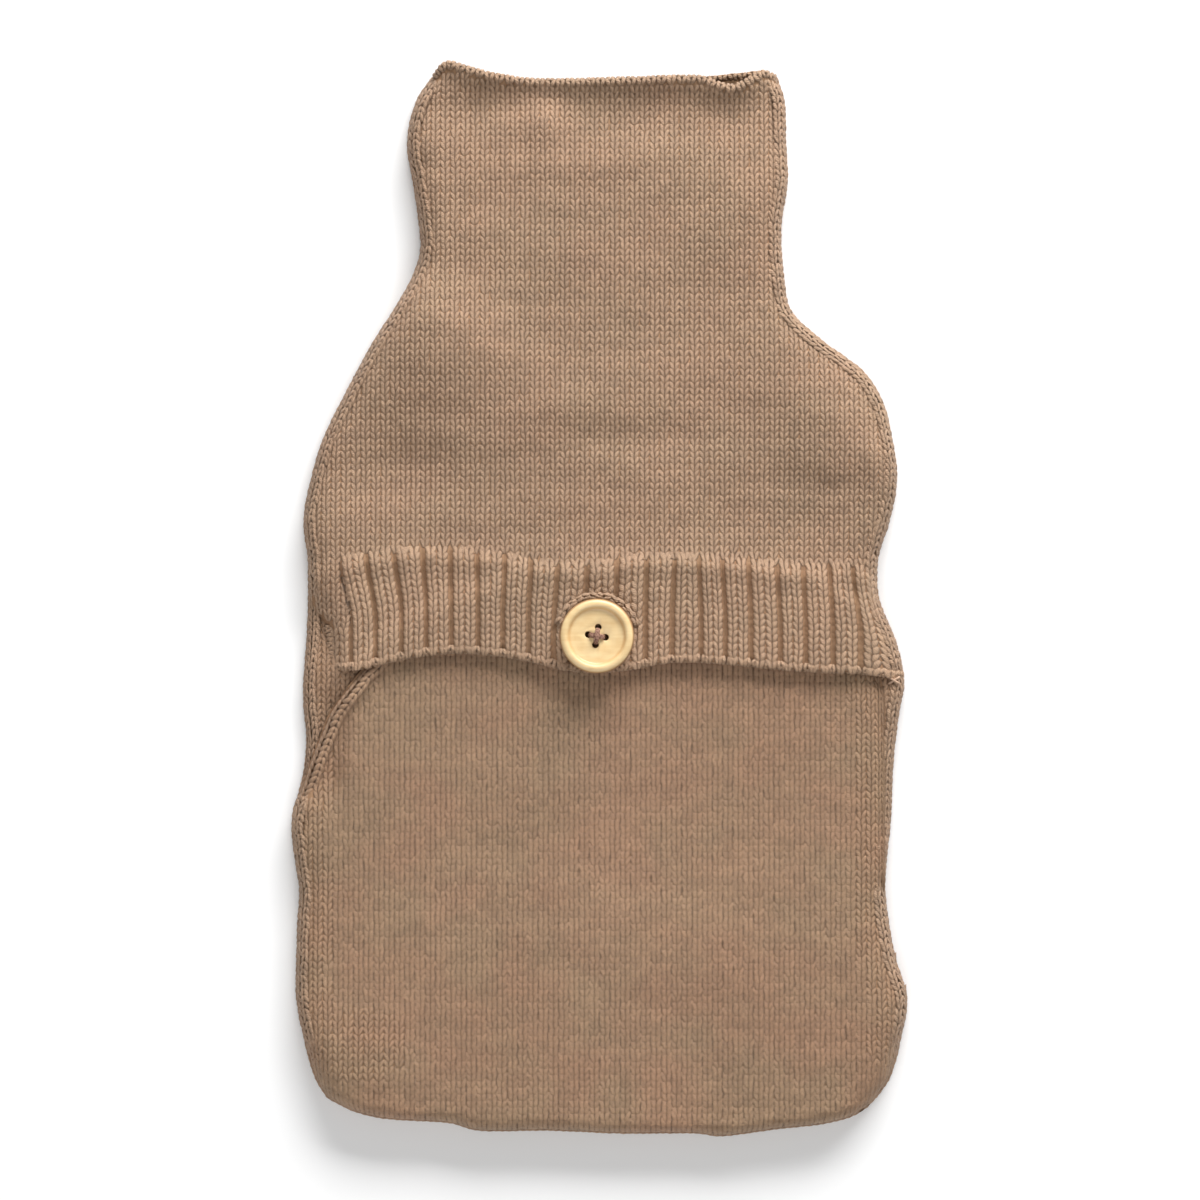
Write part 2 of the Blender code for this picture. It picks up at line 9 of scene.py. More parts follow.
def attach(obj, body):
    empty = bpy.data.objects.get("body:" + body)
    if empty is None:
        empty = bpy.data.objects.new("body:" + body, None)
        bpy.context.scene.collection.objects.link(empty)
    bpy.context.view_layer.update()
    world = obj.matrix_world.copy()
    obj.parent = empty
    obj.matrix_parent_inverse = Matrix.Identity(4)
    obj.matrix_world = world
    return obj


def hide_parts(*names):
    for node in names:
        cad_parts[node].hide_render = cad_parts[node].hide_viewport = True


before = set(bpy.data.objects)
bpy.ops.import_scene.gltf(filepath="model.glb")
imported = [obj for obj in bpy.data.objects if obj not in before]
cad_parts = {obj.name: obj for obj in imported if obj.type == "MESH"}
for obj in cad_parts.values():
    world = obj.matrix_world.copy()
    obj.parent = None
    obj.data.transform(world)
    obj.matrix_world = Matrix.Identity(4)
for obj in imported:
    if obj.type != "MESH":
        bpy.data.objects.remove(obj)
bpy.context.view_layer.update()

# ---------------------------------------------------------------------------------------------------------
# Studio. The cover lies on white paper and is seen from straight above. One large soft light stands beyond
# the neck, so that what faces the neck is bright and the flap shades the cloth below it.
MM = 0.001
FRAME_PIXELS = 1200
PIXEL_MM = 0.341
CAMERA_HEIGHT = 1.6
FRONT_HEIGHT = 0.011
SENSOR = 36.0

scene = bpy.context.scene
scene.view_settings.view_transform = "Standard"
camera_data = bpy.data.cameras.new("camera above")
camera_data.sensor_width = SENSOR
camera_data.lens = SENSOR * (CAMERA_HEIGHT - FRONT_HEIGHT) / (FRAME_PIXELS * PIXEL_MM * MM)
camera_data.clip_start = 0.05
camera = bpy.data.objects.new("camera above", camera_data)
camera.location = (0.5 * PIXEL_MM * MM, -0.5 * PIXEL_MM * MM, CAMERA_HEIGHT)
scene.collection.objects.link(camera)
scene.camera = camera


def add_light(name, place, size, power, target):
    data = bpy.data.lights.new(name, "AREA")
    data.shape = "RECTANGLE"
    data.size, data.size_y = size
    data.energy = power
    light = bpy.data.objects.new(name, data)
    light.location = place
    light.rotation_euler = (Vector(target) - Vector(place)).to_track_quat("-Z", "Y").to_euler()
    scene.collection.objects.link(light)


add_light("window beyond the neck", (0.45, 1.45, 0.72), (1.5, 0.6), 53.0, (0.0, 0.0, 0.0))
add_light("fill from the foot", (-0.25, -1.2, 1.2), (1.6, 1.2), 14.0, (0.0, 0.0, 0.0))

room = bpy.data.worlds.new("pale room")
room.use_nodes = True
room.node_tree.nodes["Background"].inputs["Color"].default_value = (1.0, 1.0, 1.0, 1.0)
room.node_tree.nodes["Background"].inputs["Strength"].default_value = 0.25
scene.world = room

paper = bpy.data.materials.new("white paper")
paper.use_nodes = True
paper_shader = paper.node_tree.nodes["Principled BSDF"]
paper_shader.inputs["Base Color"].default_value = (0.97, 0.97, 0.97, 1.0)
paper_shader.inputs["Roughness"].default_value = 0.9
FLOOR_HALF = 3.0
floor_mesh = bpy.data.meshes.new("floor")
floor_mesh.from_pydata(
    [(-FLOOR_HALF, -FLOOR_HALF, 0.0), (FLOOR_HALF, -FLOOR_HALF, 0.0),
     (FLOOR_HALF, FLOOR_HALF, 0.0), (-FLOOR_HALF, FLOOR_HALF, 0.0)],
    [], [(0, 1, 2, 3)],
)
floor_mesh.materials.append(paper)
floor = bpy.data.objects.new("floor", floor_mesh)
scene.collection.objects.link(floor)

# ---------------------------------------------------------------------------------------------------------
# Back panel. One flat piece of stockinette with the whole outline, knitted upwards from the bottom in soft
# taupe yarn. Its knit side faces the table, and its margins turn over at the openings, where it curls up
# beside the narrower front. Its purl side is the inside of the cover, and shows in the mouth of the neck.
CLOTH_THICK = 1.3
WALE = 3.4
COURSE = 2.15
BACK_TOP = 1.9
UNDER_CARRIER = 0.75
LEFT_PUFF = 2.6
CORNER_PUFF = 5.5
RIGHT_PUFF_LOW = 5.2
RIGHT_PUFF_HIGH = 7.4

# Silhouette seen from above, in millimetres. Columns: height y, left x, right x.
SILHOUETTE = (
    (-170.5, -93.0, 94.5),
    (-164.0, -97.0, 99.0),
    (-150.0, -101.0, 103.0),
    (-136.5, -103.5, 105.0),
    (-123.0, -103.5, 101.0),
    (-109.5, -103.0, 98.5),
    (-99.0, -102.5, 97.5),
    (-89.0, -104.0, 98.0),
    (-75.0, -105.0, 99.5),
    (-61.5, -101.5, 100.0),
    (-48.0, -100.0, 101.0),
    (-37.5, -101.0, 102.5),
    (-27.5, -101.0, 104.0),
    (-14.0, -100.0, 101.0),
    (0.0, -99.5, 95.5),
    (13.5, -99.5, 95.0),
    (27.0, -101.0, 99.0),
    (41.0, -98.5, 101.5),
    (54.5, -94.5, 100.0),
    (68.0, -88.0, 96.5),
    (78.5, -82.5, 89.5),
    (88.5, -77.0, 76.0),
    (98.5, -70.5, 65.5),
    (109.0, -64.5, 63.0),
    (119.0, -61.0, 62.0),
    (129.5, -61.5, 62.0),
    (143.0, -63.5, 64.0),
    (156.5, -65.5, 63.5),
    (170.5, -62.5, 63.0),
    (179.0, -57.0, 60.5),
)

# Edges that run across, in millimetres. Columns: x, y.
BOTTOM_EDGE = (
    (-93.0, -170.5),
    (-84.0, -175.0),
    (-73.0, -177.5),
    (-51.0, -179.0),
    (-42.0, -181.5),
    (-17.0, -181.5),
    (7.0, -182.5),
    (34.0, -182.5),
    (41.0, -183.5),
    (61.0, -181.0),
    (78.0, -179.0),
    (89.0, -175.5),
    (94.5, -170.5),
)
BACK_NECK_EDGE = (
    (-57.0, 179.0),
    (-54.0, 182.5),
    (-51.0, 183.5),
    (-46.0, 182.0),
    (-36.5, 179.5),
    (-22.5, 177.5),
    (11.0, 178.0),
    (35.0, 179.0),
    (50.0, 180.5),
    (56.0, 181.0),
    (60.5, 179.0),
)
# Right edge of the lower front, which leaves a strip of the back free. Columns: y, x.
LOWER_RIGHT_EDGE = (
    (-99.0, 97.5),
    (-89.0, 97.5),
    (-68.0, 97.5),
    (-48.0, 97.3),
    (-31.0, 96.8),
    (-20.0, 94.5),
    (-9.0, 92.0),
)


def lerp(low, high, share):
    return low + (high - low) * share


def smoothstep(share):
    share = np.clip(share, 0.0, 1.0)
    return share * share * (3.0 - 2.0 * share)


def through(table, at, column=1):
    """Values on the smooth curve through one column of a table, whose first column rises."""
    keys = np.array([row[0] for row in table], float)
    values = np.array([row[column] for row in table], float)
    at = np.clip(np.asarray(at, float), keys[0], keys[-1])
    row = np.clip(np.searchsorted(keys, at, side="right") - 1, 0, len(keys) - 2)
    before = np.maximum(row - 1, 0)
    after = np.minimum(row + 2, len(keys) - 1)
    span = keys[row + 1] - keys[row]
    slope_start = (values[row + 1] - values[before]) / (keys[row + 1] - keys[before]) * span
    slope_end = (values[after] - values[row]) / (keys[after] - keys[row]) * span
    share = (at - keys[row]) / span
    square, cube = share**2, share**3
    return (
        (2 * cube - 3 * square + 1) * values[row]
        + (cube - 2 * square + share) * slope_start
        + (3 * square - 2 * cube) * values[row + 1]
        + (cube - square) * slope_end
    )


def patch(share, rise, left, right, low_edge, high_edge):
    """Places on a four-sided patch. left and right are (x, y) of its sides at each rise; the sides end where
    the low and the high edge do."""
    x = lerp(left[0], right[0], share)
    y = lerp(left[1], right[1], share)
    for edge, weight in ((low_edge, 1.0 - rise), (high_edge, rise)):
        start, end = edge[0], edge[-1]
        straight = lerp(start[1], end[1], share)
        y = y + weight * (through(edge, lerp(start[0], end[0], share)) - straight)
    return x, y


def side_line(lowest, highest, column=1, table=SILHOUETTE, step=3.0):
    heights = np.linspace(lowest, highest, max(2, round((highest - lowest) / step)))
    return [(float(through(table, y, column)), float(y)) for y in heights]


def edge_line(table, step=3.0):
    places = np.linspace(table[0][0], table[-1][0], round((table[-1][0] - table[0][0]) / step))
    return [(float(x), float(through(table, x))) for x in places]


def outwards(line):
    """Points of a chain, and the direction out of the panel at each. The chain runs with the panel on its
    left."""
    points = np.array(line)
    runs = np.diff(points, axis=0)
    out = np.stack([runs[:, 1], -runs[:, 0]], axis=1) / np.linalg.norm(runs, axis=1)[:, None]
    bends = np.concatenate([out[:1], out[:-1] + out[1:], out[-1:]])
    return points, bends / np.linalg.norm(bends, axis=1)[:, None]


def from_line(line, x, y):
    """Distance of each place from a chain of points, and the direction out of the panel there."""
    points, bends = outwards(line)
    runs = np.diff(points, axis=0)
    best = np.full(x.shape, np.inf)
    outward = np.zeros((2,) + x.shape)
    for index, (run_x, run_y) in enumerate(runs):
        start_x, start_y = points[index]
        share = np.clip(((x - start_x) * run_x + (y - start_y) * run_y) / (run_x**2 + run_y**2), 0.0, 1.0)
        distance = np.hypot(start_x + share * run_x - x, start_y + share * run_y - y)
        nearer = distance < best
        best = np.where(nearer, distance, best)
        for axis in (0, 1):
            leaning = lerp(bends[index][axis], bends[index + 1][axis], share)
            outward[axis] = np.where(nearer, leaning, outward[axis])
    return best, outward


def in_from_edge(outline, x, y):
    return from_line(outline, x, y)[0]


def strip(chain, across):
    """Places beside a chain of points, at distances outwards from it."""
    points, bends = outwards(chain)
    return points[:, :1] + bends[:, :1] * across, points[:, 1:] + bends[:, 1:] * across


def bunched(count, axis, bunching=0.8):
    """Shares from 0 to 1 along a grid's axis, closer together near both ends, where the cloth turns down."""
    even = np.linspace(0.0, 1.0, count)
    shares = even - bunching * np.sin(2 * math.pi * even) / (2 * math.pi)
    return shares[None, :] if axis else shares[:, None]


def grid_mesh(name, grid, flip=False):
    """Mesh of a grid of places in millimetres. Where a place has five numbers, the last two are its place on
    the knitting chart."""
    rows, columns = grid.shape[:2]
    places = grid.reshape(-1, grid.shape[2])
    corner = np.arange(rows * columns).reshape(rows, columns)
    quads = np.stack([corner[:-1, :-1], corner[:-1, 1:], corner[1:, 1:], corner[1:, :-1]], axis=-1)
    quads = quads.reshape(-1, 4)
    if flip:
        quads = quads[:, ::-1]
    mesh = bpy.data.meshes.new(name)
    mesh.from_pydata((places[:, :3] * MM).tolist(), [], quads.tolist())
    if grid.shape[2] > 3:
        chart = mesh.uv_layers.new(name="knitting")
        chart.data.foreach_set("uv", places[quads.reshape(-1), 3:5].astype(np.float32).ravel())
    mesh.shade_smooth()
    return mesh


def normals_of(grid):
    """Unit normals of a grid that faces up."""
    down, across = np.gradient(grid[..., :3], axis=(0, 1))
    normal = np.cross(across, down)
    return normal / np.maximum(np.linalg.norm(normal, axis=-1, keepdims=True), 1e-9)


def sunk(grid, depth):
    """The grid let into the cloth, so that stitches can stand on it."""
    return grid - normals_of(grid) * depth


def thick_cloth(name, grid, surface, lowest):
    """Closed cloth. Its outer face is the grid, and its inner face lies the cloth's thickness inward."""
    mesh = grid_mesh(name, grid)
    mesh.materials.append(surface)
    piece = bpy.data.objects.new(name, mesh)
    scene.collection.objects.link(piece)
    shell = piece.modifiers.new("cloth thickness", "SOLIDIFY")
    shell.thickness = CLOTH_THICK * MM
    shell.offset = -1.0
    graph = bpy.context.evaluated_depsgraph_get()
    closed = bpy.data.meshes.new_from_object(piece.evaluated_get(graph))
    bpy.data.objects.remove(piece)
    places = np.empty(len(closed.vertices) * 3, np.float32)
    closed.vertices.foreach_get("co", places)
    places = places.reshape(-1, 3)
    # In a tight corner the inner face could come out past the outer one.
    outer, inner = np.split(places, 2)
    inner_out, outer_out = (np.hypot(*face[:, :2].T) for face in (inner, outer))
    strayed = inner_out > outer_out + CLOTH_THICK * MM / 4
    inner[strayed, :2] = outer[strayed, :2]
    places[:, 2] = np.maximum(places[:, 2], lowest * MM)
    closed.vertices.foreach_set("co", places.ravel())
    closed.update()
    return plain_piece(name, closed)


def plain_piece(name, mesh):
    mesh.name = name
    piece = bpy.data.objects.new(name, mesh)
    scene.collection.objects.link(piece)
    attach(piece, "root")
    return piece


def socket_filler(tree):
    """Function that adds a node to a tree, with its settings and its inputs: numbers or other sockets."""
    def add(kind, inputs=(), **settings):
        made = tree.nodes.new(kind)
        for key, value in settings.items():
            setattr(made, key, value)
        for key, value in dict(inputs).items():
            if isinstance(value, bpy.types.NodeSocket):
                tree.links.new(value, made.inputs[key])
            else:
                made.inputs[key].default_value = value
        return made

    return add


def new_surface(name):
    surface = bpy.data.materials.new(name)
    surface.use_nodes = True
    tree = surface.node_tree
    return surface, tree.nodes["Principled BSDF"].inputs, socket_filler(tree), tree.links.new


ROSY = (1.035, 0.985, 0.98)
SALLOW = (0.975, 1.01, 1.0)


def dyed(node, colour, streaks, blush_share=0.4, patches_share=0.14, fibres_share=0.7):
    """The yarn's colour, paler and darker from course to course, in soft patches and from fibre to fibre, and
    a little rosier in some patches."""
    place = node("ShaderNodeTexCoord").outputs["Object"]
    along = node("ShaderNodeMapping", {"Vector": place, "Scale": (22.0, 190.0, 22.0)})
    courses = node("ShaderNodeTexNoise", {"Vector": along.outputs["Vector"], "Scale": 1.0, "Detail": 3.0})
    patches = node("ShaderNodeTexNoise", {"Vector": place, "Scale": 24.0, "Detail": 2.0})
    blushes = node("ShaderNodeTexNoise", {"Vector": place, "Scale": 42.0, "Detail": 1.0})
    blush = node("ShaderNodeMapRange", {"Value": blushes.outputs["Fac"], "From Min": 0.35, "From Max": 0.65})
    sallow, rosy = (
        tuple(part * lerp(1.0, tint, blush_share) for part, tint in zip(colour, hue))
        for hue in (SALLOW, ROSY)
    )
    colour = node("ShaderNodeMix", {0: blush.outputs[0], 4: sallow, 5: rosy}, data_type="VECTOR").outputs[1]
    fibres = node("ShaderNodeTexNoise", {"Vector": place, "Scale": 1100.0, "Detail": 3.0, "Roughness": 0.7})
    value = 1.0 - 0.5 * (streaks + patches_share + fibres_share)
    for spots, share in ((courses, streaks), (patches, patches_share), (fibres, fibres_share)):
        value = node("ShaderNodeMath", {0: spots.outputs["Fac"], 1: share, 2: value},
                     operation="MULTIPLY_ADD").outputs[0]
    shaded = node("ShaderNodeVectorMath", {0: colour, "Scale": value}, operation="SCALE")
    return shaded.outputs[0], fibres.outputs["Fac"]


def make_ground(name, colour):
    """The cloth behind the stitches, seen through the gaps: the same yarn, given a darker colour as painted
    shade.
    """
    surface, shader, node, link = new_surface(name)
    shaded, fibres = dyed(node, colour, 0.2)
    place = node("ShaderNodeTexCoord").outputs["Object"]
    stretched = node("ShaderNodeMapping", {"Vector": place, "Scale": (300.0, 460.0, 460.0)})
    loops = node("ShaderNodeTexVoronoi", {"Vector": stretched.outputs["Vector"], "Scale": 1.0})
    bump = node("ShaderNodeBump", {"Strength": 0.7, "Distance": 0.0007, "Height": loops.outputs["Distance"]})
    bump.invert = True
    link(shaded, shader["Base Color"])
    link(bump.outputs["Normal"], shader["Normal"])
    shader["Roughness"].default_value = 0.95
    shader["Specular IOR Level"].default_value = 0.15
    return surface


def make_yarn(name, colour, tone_range, painted_side_shade, streaks, blush_share=0.4, sheen=0.1):
    """Soft plied yarn. Each stitch has its own tone, its sides are painted darker as shade and its plies wind
    round it.
    """
    surface, shader, node, link = new_surface(name)
    shaded, fibres = dyed(node, colour, streaks, blush_share)
    strand = node("ShaderNodeUVMap", uv_map="strand").outputs["UV"]
    parts = node("ShaderNodeSeparateXYZ", {0: strand})
    side = node("ShaderNodeMath", {0: parts.outputs["X"], 1: 0.5}, operation="SUBTRACT")
    side = node("ShaderNodeMath", {0: side.outputs[0]}, operation="ABSOLUTE")
    # Painted shade: the colour darkens towards each strand's sides.
    edge = node("ShaderNodeMapRange", {"Value": side.outputs[0], "From Min": 0.12, "From Max": 0.5,
                                       "To Min": 1.0, "To Max": painted_side_shade})
    tone = node("ShaderNodeAttribute", attribute_name="tone", attribute_type="GEOMETRY")
    tone = node("ShaderNodeMapRange", {"Value": tone.outputs["Fac"], "To Min": 1.0 - tone_range,
                                       "To Max": 1.0 + tone_range})
    scale = node("ShaderNodeMath", {0: edge.outputs[0], 1: tone.outputs[0]}, operation="MULTIPLY")
    mixed = node("ShaderNodeVectorMath", {0: shaded, "Scale": scale.outputs[0]}, operation="SCALE")
    twist = node("ShaderNodeMath", {0: parts.outputs["Y"], 1: 1.6, 2: parts.outputs["X"]},
                 operation="MULTIPLY_ADD")
    twist = node("ShaderNodeMath", {0: twist.outputs[0], 1: 6 * math.pi}, operation="MULTIPLY")
    twist = node("ShaderNodeMath", {0: twist.outputs[0]}, operation="SINE")
    ply = node("ShaderNodeMath", {0: twist.outputs[0], 1: 0.3, 2: fibres}, operation="MULTIPLY_ADD")
    bump = node("ShaderNodeBump", {"Strength": 0.55, "Distance": 0.0004, "Height": ply.outputs[0]})
    link(mixed.outputs[0], shader["Base Color"])
    link(bump.outputs["Normal"], shader["Normal"])
    shader["Roughness"].default_value = 0.64
    shader["Specular IOR Level"].default_value = 0.4
    shader["Sheen Weight"].default_value = sheen
    shader["Sheen Roughness"].default_value = 0.5
    shader["Sheen Tint"].default_value = (1.0, 0.95, 0.92, 1.0)
    return surface


def stitch_template(name, legs, rings):
    """One stitch as its legs, in shares of a wale and of a course, with its heights in millimetres. legs has
    a row for each leg; rings has a row for each section along one."""
    # Columns of legs: start x, start y, end x, end y. Columns of rings: share of the way, half width, half
    # height, height of the middle.
    section = ((-1.0, -0.3), (-0.52, 0.9), (0.52, 0.9), (1.0, -0.3))
    points, faces, places = [], [], []
    for start_x, start_y, end_x, end_y in legs:
        first = len(points)
        length = math.hypot((end_x - start_x) * WALE, (end_y - start_y) * COURSE)
        over_x = (end_y - start_y) * COURSE / length
        over_y = -(end_x - start_x) * WALE / length * WALE / COURSE
        for way, half_width, half_height, middle in rings:
            x, y = lerp(start_x, end_x, way), lerp(start_y, end_y, way)
            if half_width == 0.0:
                points.append((x, y, middle * MM))
                places.append((0.5, way))
                continue
            for place, (across, up) in enumerate(section):
                shift = across * half_width
                points.append((x + shift * over_x, y + shift * over_y, (middle + up * half_height) * MM))
                places.append((place / (len(section) - 1), way))
        last = len(points) - 1
        for step in range(4):
            after = (step + 1) % 4
            faces.append((first, first + 1 + step, first + 1 + after))
            for ring in range(len(rings) - 3):
                base = first + 1 + 4 * ring
                faces.append((base + after, base + step, base + 4 + step, base + 4 + after))
            base = last - 4
            faces.append((base + after, base + step, last))
    mesh = bpy.data.meshes.new(name)
    mesh.from_pydata(points, [], faces)
    bm = bmesh.new()
    bm.from_mesh(mesh)
    bmesh.ops.recalc_face_normals(bm, faces=bm.faces)
    bm.to_mesh(mesh)
    bm.free()
    layer = mesh.uv_layers.new(name="strand")
    for loop in mesh.loops:
        layer.data[loop.index].uv = places[loop.vertex_index]
    return bpy.data.objects.new(name, mesh)


KNIT_LEGS = ((-0.07, -0.78, -0.38, 0.72), (0.07, -0.78, 0.38, 0.72))
FULL_LEG = (
    (0.0, 0.0, 0.0, 0.10),
    (0.14, 0.17, 0.22, 0.24),
    (0.5, 0.225, 0.27, 0.32),
    (0.86, 0.21, 0.22, 0.18),
    (1.0, 0.0, 0.0, 0.02),
)
PLAIN_LEG = (
    (0.0, 0.0, 0.0, 0.08),
    (0.45, 0.25, 0.30, 0.26),
    (1.0, 0.0, 0.0, 0.02),
)
plain_stitch = stitch_template("plain_stitch", KNIT_LEGS, PLAIN_LEG)
# The purl side has an arch for each stitch.
PURL_LEGS = ((-0.5, -0.2, 0.06, 0.26), (-0.06, 0.26, 0.5, -0.2))
PURL_LEG = (
    (0.0, 0.0, 0.0, 0.06),
    (0.5, 0.2, 0.16, 0.2),
    (1.0, 0.0, 0.0, 0.06),
)
purl_stitch = stitch_template("purl_stitch", PURL_LEGS, PURL_LEG)
full_stitch = stitch_template("full_stitch", KNIT_LEGS, FULL_LEG)


# How much of its unevenness a stitch shows in its width, its length, and its place across and along.
WIDTH_SWING, LENGTH_SWING, ACROSS_SWING, ALONG_SWING = 0.6, 0.8, 0.5, 0.8


def build_knit_tree():
    """Geometry Nodes that knit a piece: a stitch for every wale and course of its chart, bent to follow the
    cloth, with a little unevenness from stitch to stitch."""
    tree = bpy.data.node_groups.new("knit over the cloth", "GeometryNodeTree")
    node = socket_filler(tree)
    for name, kind in (("Cloth", "Geometry"), ("Stitch", "Object"), ("Wales", "Int"), ("Courses", "Int"),
                       ("Unevenness", "Float"), ("Relief", "Float"), ("Seed", "Int"), ("Yarn", "Material")):
        tree.interface.new_socket(name, in_out="INPUT", socket_type="NodeSocket" + kind)
    tree.interface.new_socket("Knitting", in_out="OUTPUT", socket_type="NodeSocketGeometry")
    enter = tree.nodes.new("NodeGroupInput").outputs
    leave = tree.nodes.new("NodeGroupOutput").inputs

    def sum_of(one, other):
        return node("ShaderNodeMath", {0: one, 1: other}, operation="ADD").outputs[0]

    def product(one, other):
        return node("ShaderNodeMath", {0: one, 1: other}, operation="MULTIPLY").outputs[0]

    def sample(kind, value, at):
        chart = node("GeometryNodeInputNamedAttribute", {"Name": "knitting"}, data_type="FLOAT_VECTOR")
        return node("GeometryNodeSampleUVSurface", {
            "Mesh": enter["Cloth"], "Value": value, "UV Map": chart.outputs["Attribute"], "Sample UV": at,
        }, data_type=kind)

    place = node("GeometryNodeInputPosition").outputs[0]

    # One point in the middle of every cell of the chart, kept where the chart has cloth.
    wale = node("ShaderNodeMath", {0: 1.0, 1: enter["Wales"]}, operation="DIVIDE").outputs[0]
    course = node("ShaderNodeMath", {0: 1.0, 1: enter["Courses"]}, operation="DIVIDE").outputs[0]
    chart = node("GeometryNodeMeshGrid", {
        "Size X": sum_of(1.0, product(wale, -1.0)), "Size Y": sum_of(1.0, product(course, -1.0)),
        "Vertices X": enter["Wales"], "Vertices Y": enter["Courses"],
    })
    centred = node("GeometryNodeSetPosition", {"Geometry": chart.outputs["Mesh"], "Offset": (0.5, 0.5, 0.0)})
    knitted = node("GeometryNodeInputNamedAttribute", {"Name": "knitted"}, data_type="FLOAT")
    found = sample("FLOAT", knitted.outputs["Attribute"], place)
    off_cloth = node("FunctionNodeCompare", {0: found.outputs["Value"], 1: 0.5},
                     data_type="FLOAT", operation="LESS_THAN")
    outside = node("FunctionNodeBooleanMath", {0: found.outputs["Is Valid"]}, operation="NOT")
    dropped = node("FunctionNodeBooleanMath", {0: off_cloth.outputs[0], 1: outside.outputs[0]},
                   operation="OR")
    cells = node("GeometryNodeDeleteGeometry", {
        "Geometry": centred.outputs["Geometry"], "Selection": dropped.outputs[0]}, domain="POINT")

    # A stitch in every cell, each a little off its place, its lean and its height.
    def uneven(low, high, step):
        seed = sum_of(enter["Seed"], float(step))
        return node("FunctionNodeRandomValue", {2: low, 3: high, 8: seed}, data_type="FLOAT").outputs[1]

    def swing(step):
        return product(uneven(-1.0, 1.0, step), enter["Unevenness"])

    lean = node("ShaderNodeCombineXYZ", {"Z": swing(1)})
    height = product(enter["Relief"], sum_of(1.0, swing(2)))
    size = node("ShaderNodeCombineXYZ", {"X": sum_of(1.0, product(swing(3), WIDTH_SWING)),
                                         "Y": sum_of(1.0, product(swing(4), LENGTH_SWING)), "Z": height})
    shift = node("ShaderNodeCombineXYZ", {"X": product(product(swing(5), ACROSS_SWING), wale),
                                          "Y": product(product(swing(6), ALONG_SWING), course)})
    moved = node("GeometryNodeSetPosition", {"Geometry": cells.outputs["Geometry"],
                                             "Offset": shift.outputs[0]})
    one = node("GeometryNodeObjectInfo", {"Object": enter["Stitch"]})
    stitches = node("GeometryNodeInstanceOnPoints", {
        "Points": moved.outputs["Geometry"], "Instance": one.outputs["Geometry"],
        "Rotation": lean.outputs[0], "Scale": size.outputs[0]})
    toned = node("GeometryNodeStoreNamedAttribute", {
        "Geometry": stitches.outputs["Instances"], "Name": "tone", "Value": uneven(0.0, 1.0, 7),
    }, data_type="FLOAT", domain="INSTANCE")
    middled = node("GeometryNodeStoreNamedAttribute", {
        "Geometry": toned.outputs["Geometry"], "Name": "middle", "Value": place,
    }, data_type="FLOAT_VECTOR", domain="INSTANCE")
    loose = node("GeometryNodeRealizeInstances", {"Geometry": middled.outputs["Geometry"]})

    # The template counts in wales and courses: its points come to the chart's size about their middle, and
    # are then laid on the cloth.
    middle = node("GeometryNodeInputNamedAttribute", {"Name": "middle"}, data_type="FLOAT_VECTOR")
    spread = node("ShaderNodeVectorMath", {0: place, 1: middle.outputs["Attribute"]}, operation="SUBTRACT")
    cell = node("ShaderNodeCombineXYZ", {"X": wale, "Y": course, "Z": 1.0})
    small = node("ShaderNodeVectorMath", {0: spread.outputs[0], 1: cell.outputs[0],
                                          2: middle.outputs["Attribute"]}, operation="MULTIPLY_ADD")
    flat = node("GeometryNodeSetPosition", {"Geometry": loose.outputs["Geometry"],
                                            "Position": small.outputs[0]})
    on_cloth = sample("FLOAT_VECTOR", place, place)
    missed = node("FunctionNodeBooleanMath", {0: on_cloth.outputs["Is Valid"]}, operation="NOT")
    whole = node("GeometryNodeDeleteGeometry", {
        "Geometry": flat.outputs["Geometry"], "Selection": missed.outputs[0]}, domain="POINT")
    upright = sample("FLOAT_VECTOR", node("GeometryNodeInputNormal").outputs[0], place)
    level = node("ShaderNodeSeparateXYZ", {0: place})
    raised = node("ShaderNodeVectorMath", {0: upright.outputs["Value"], "Scale": level.outputs["Z"]},
                  operation="SCALE")
    laid = node("ShaderNodeVectorMath", {0: on_cloth.outputs["Value"], 1: raised.outputs[0]}, operation="ADD")
    wrapped = node("GeometryNodeSetPosition", {"Geometry": whole.outputs["Geometry"],
                                               "Position": laid.outputs[0]})
    dressed = node("GeometryNodeSetMaterial", {"Geometry": wrapped.outputs["Geometry"],
                                               "Material": enter["Yarn"]})
    tree.links.new(dressed.outputs["Geometry"], leave["Knitting"])
    return tree


knit_tree = build_knit_tree()
CHART_MARGIN = 2.5


def chart_margin(grid):
    """The grid with one more row and column on every side, running straight on from its edges."""
    for axis in (0, 1):
        grid = np.moveaxis(grid, axis, 0)
        ends = []
        for edge, inner in ((grid[0], grid[1]), (grid[-1], grid[-2])):
            step = np.linalg.norm((edge - inner)[..., :3], axis=-1)[..., None]
            ends.append(edge + (edge - inner) * CHART_MARGIN / np.maximum(step, 0.02))
        grid = np.moveaxis(np.concatenate([ends[0][None], grid, ends[1][None]]), 0, axis)
    return grid


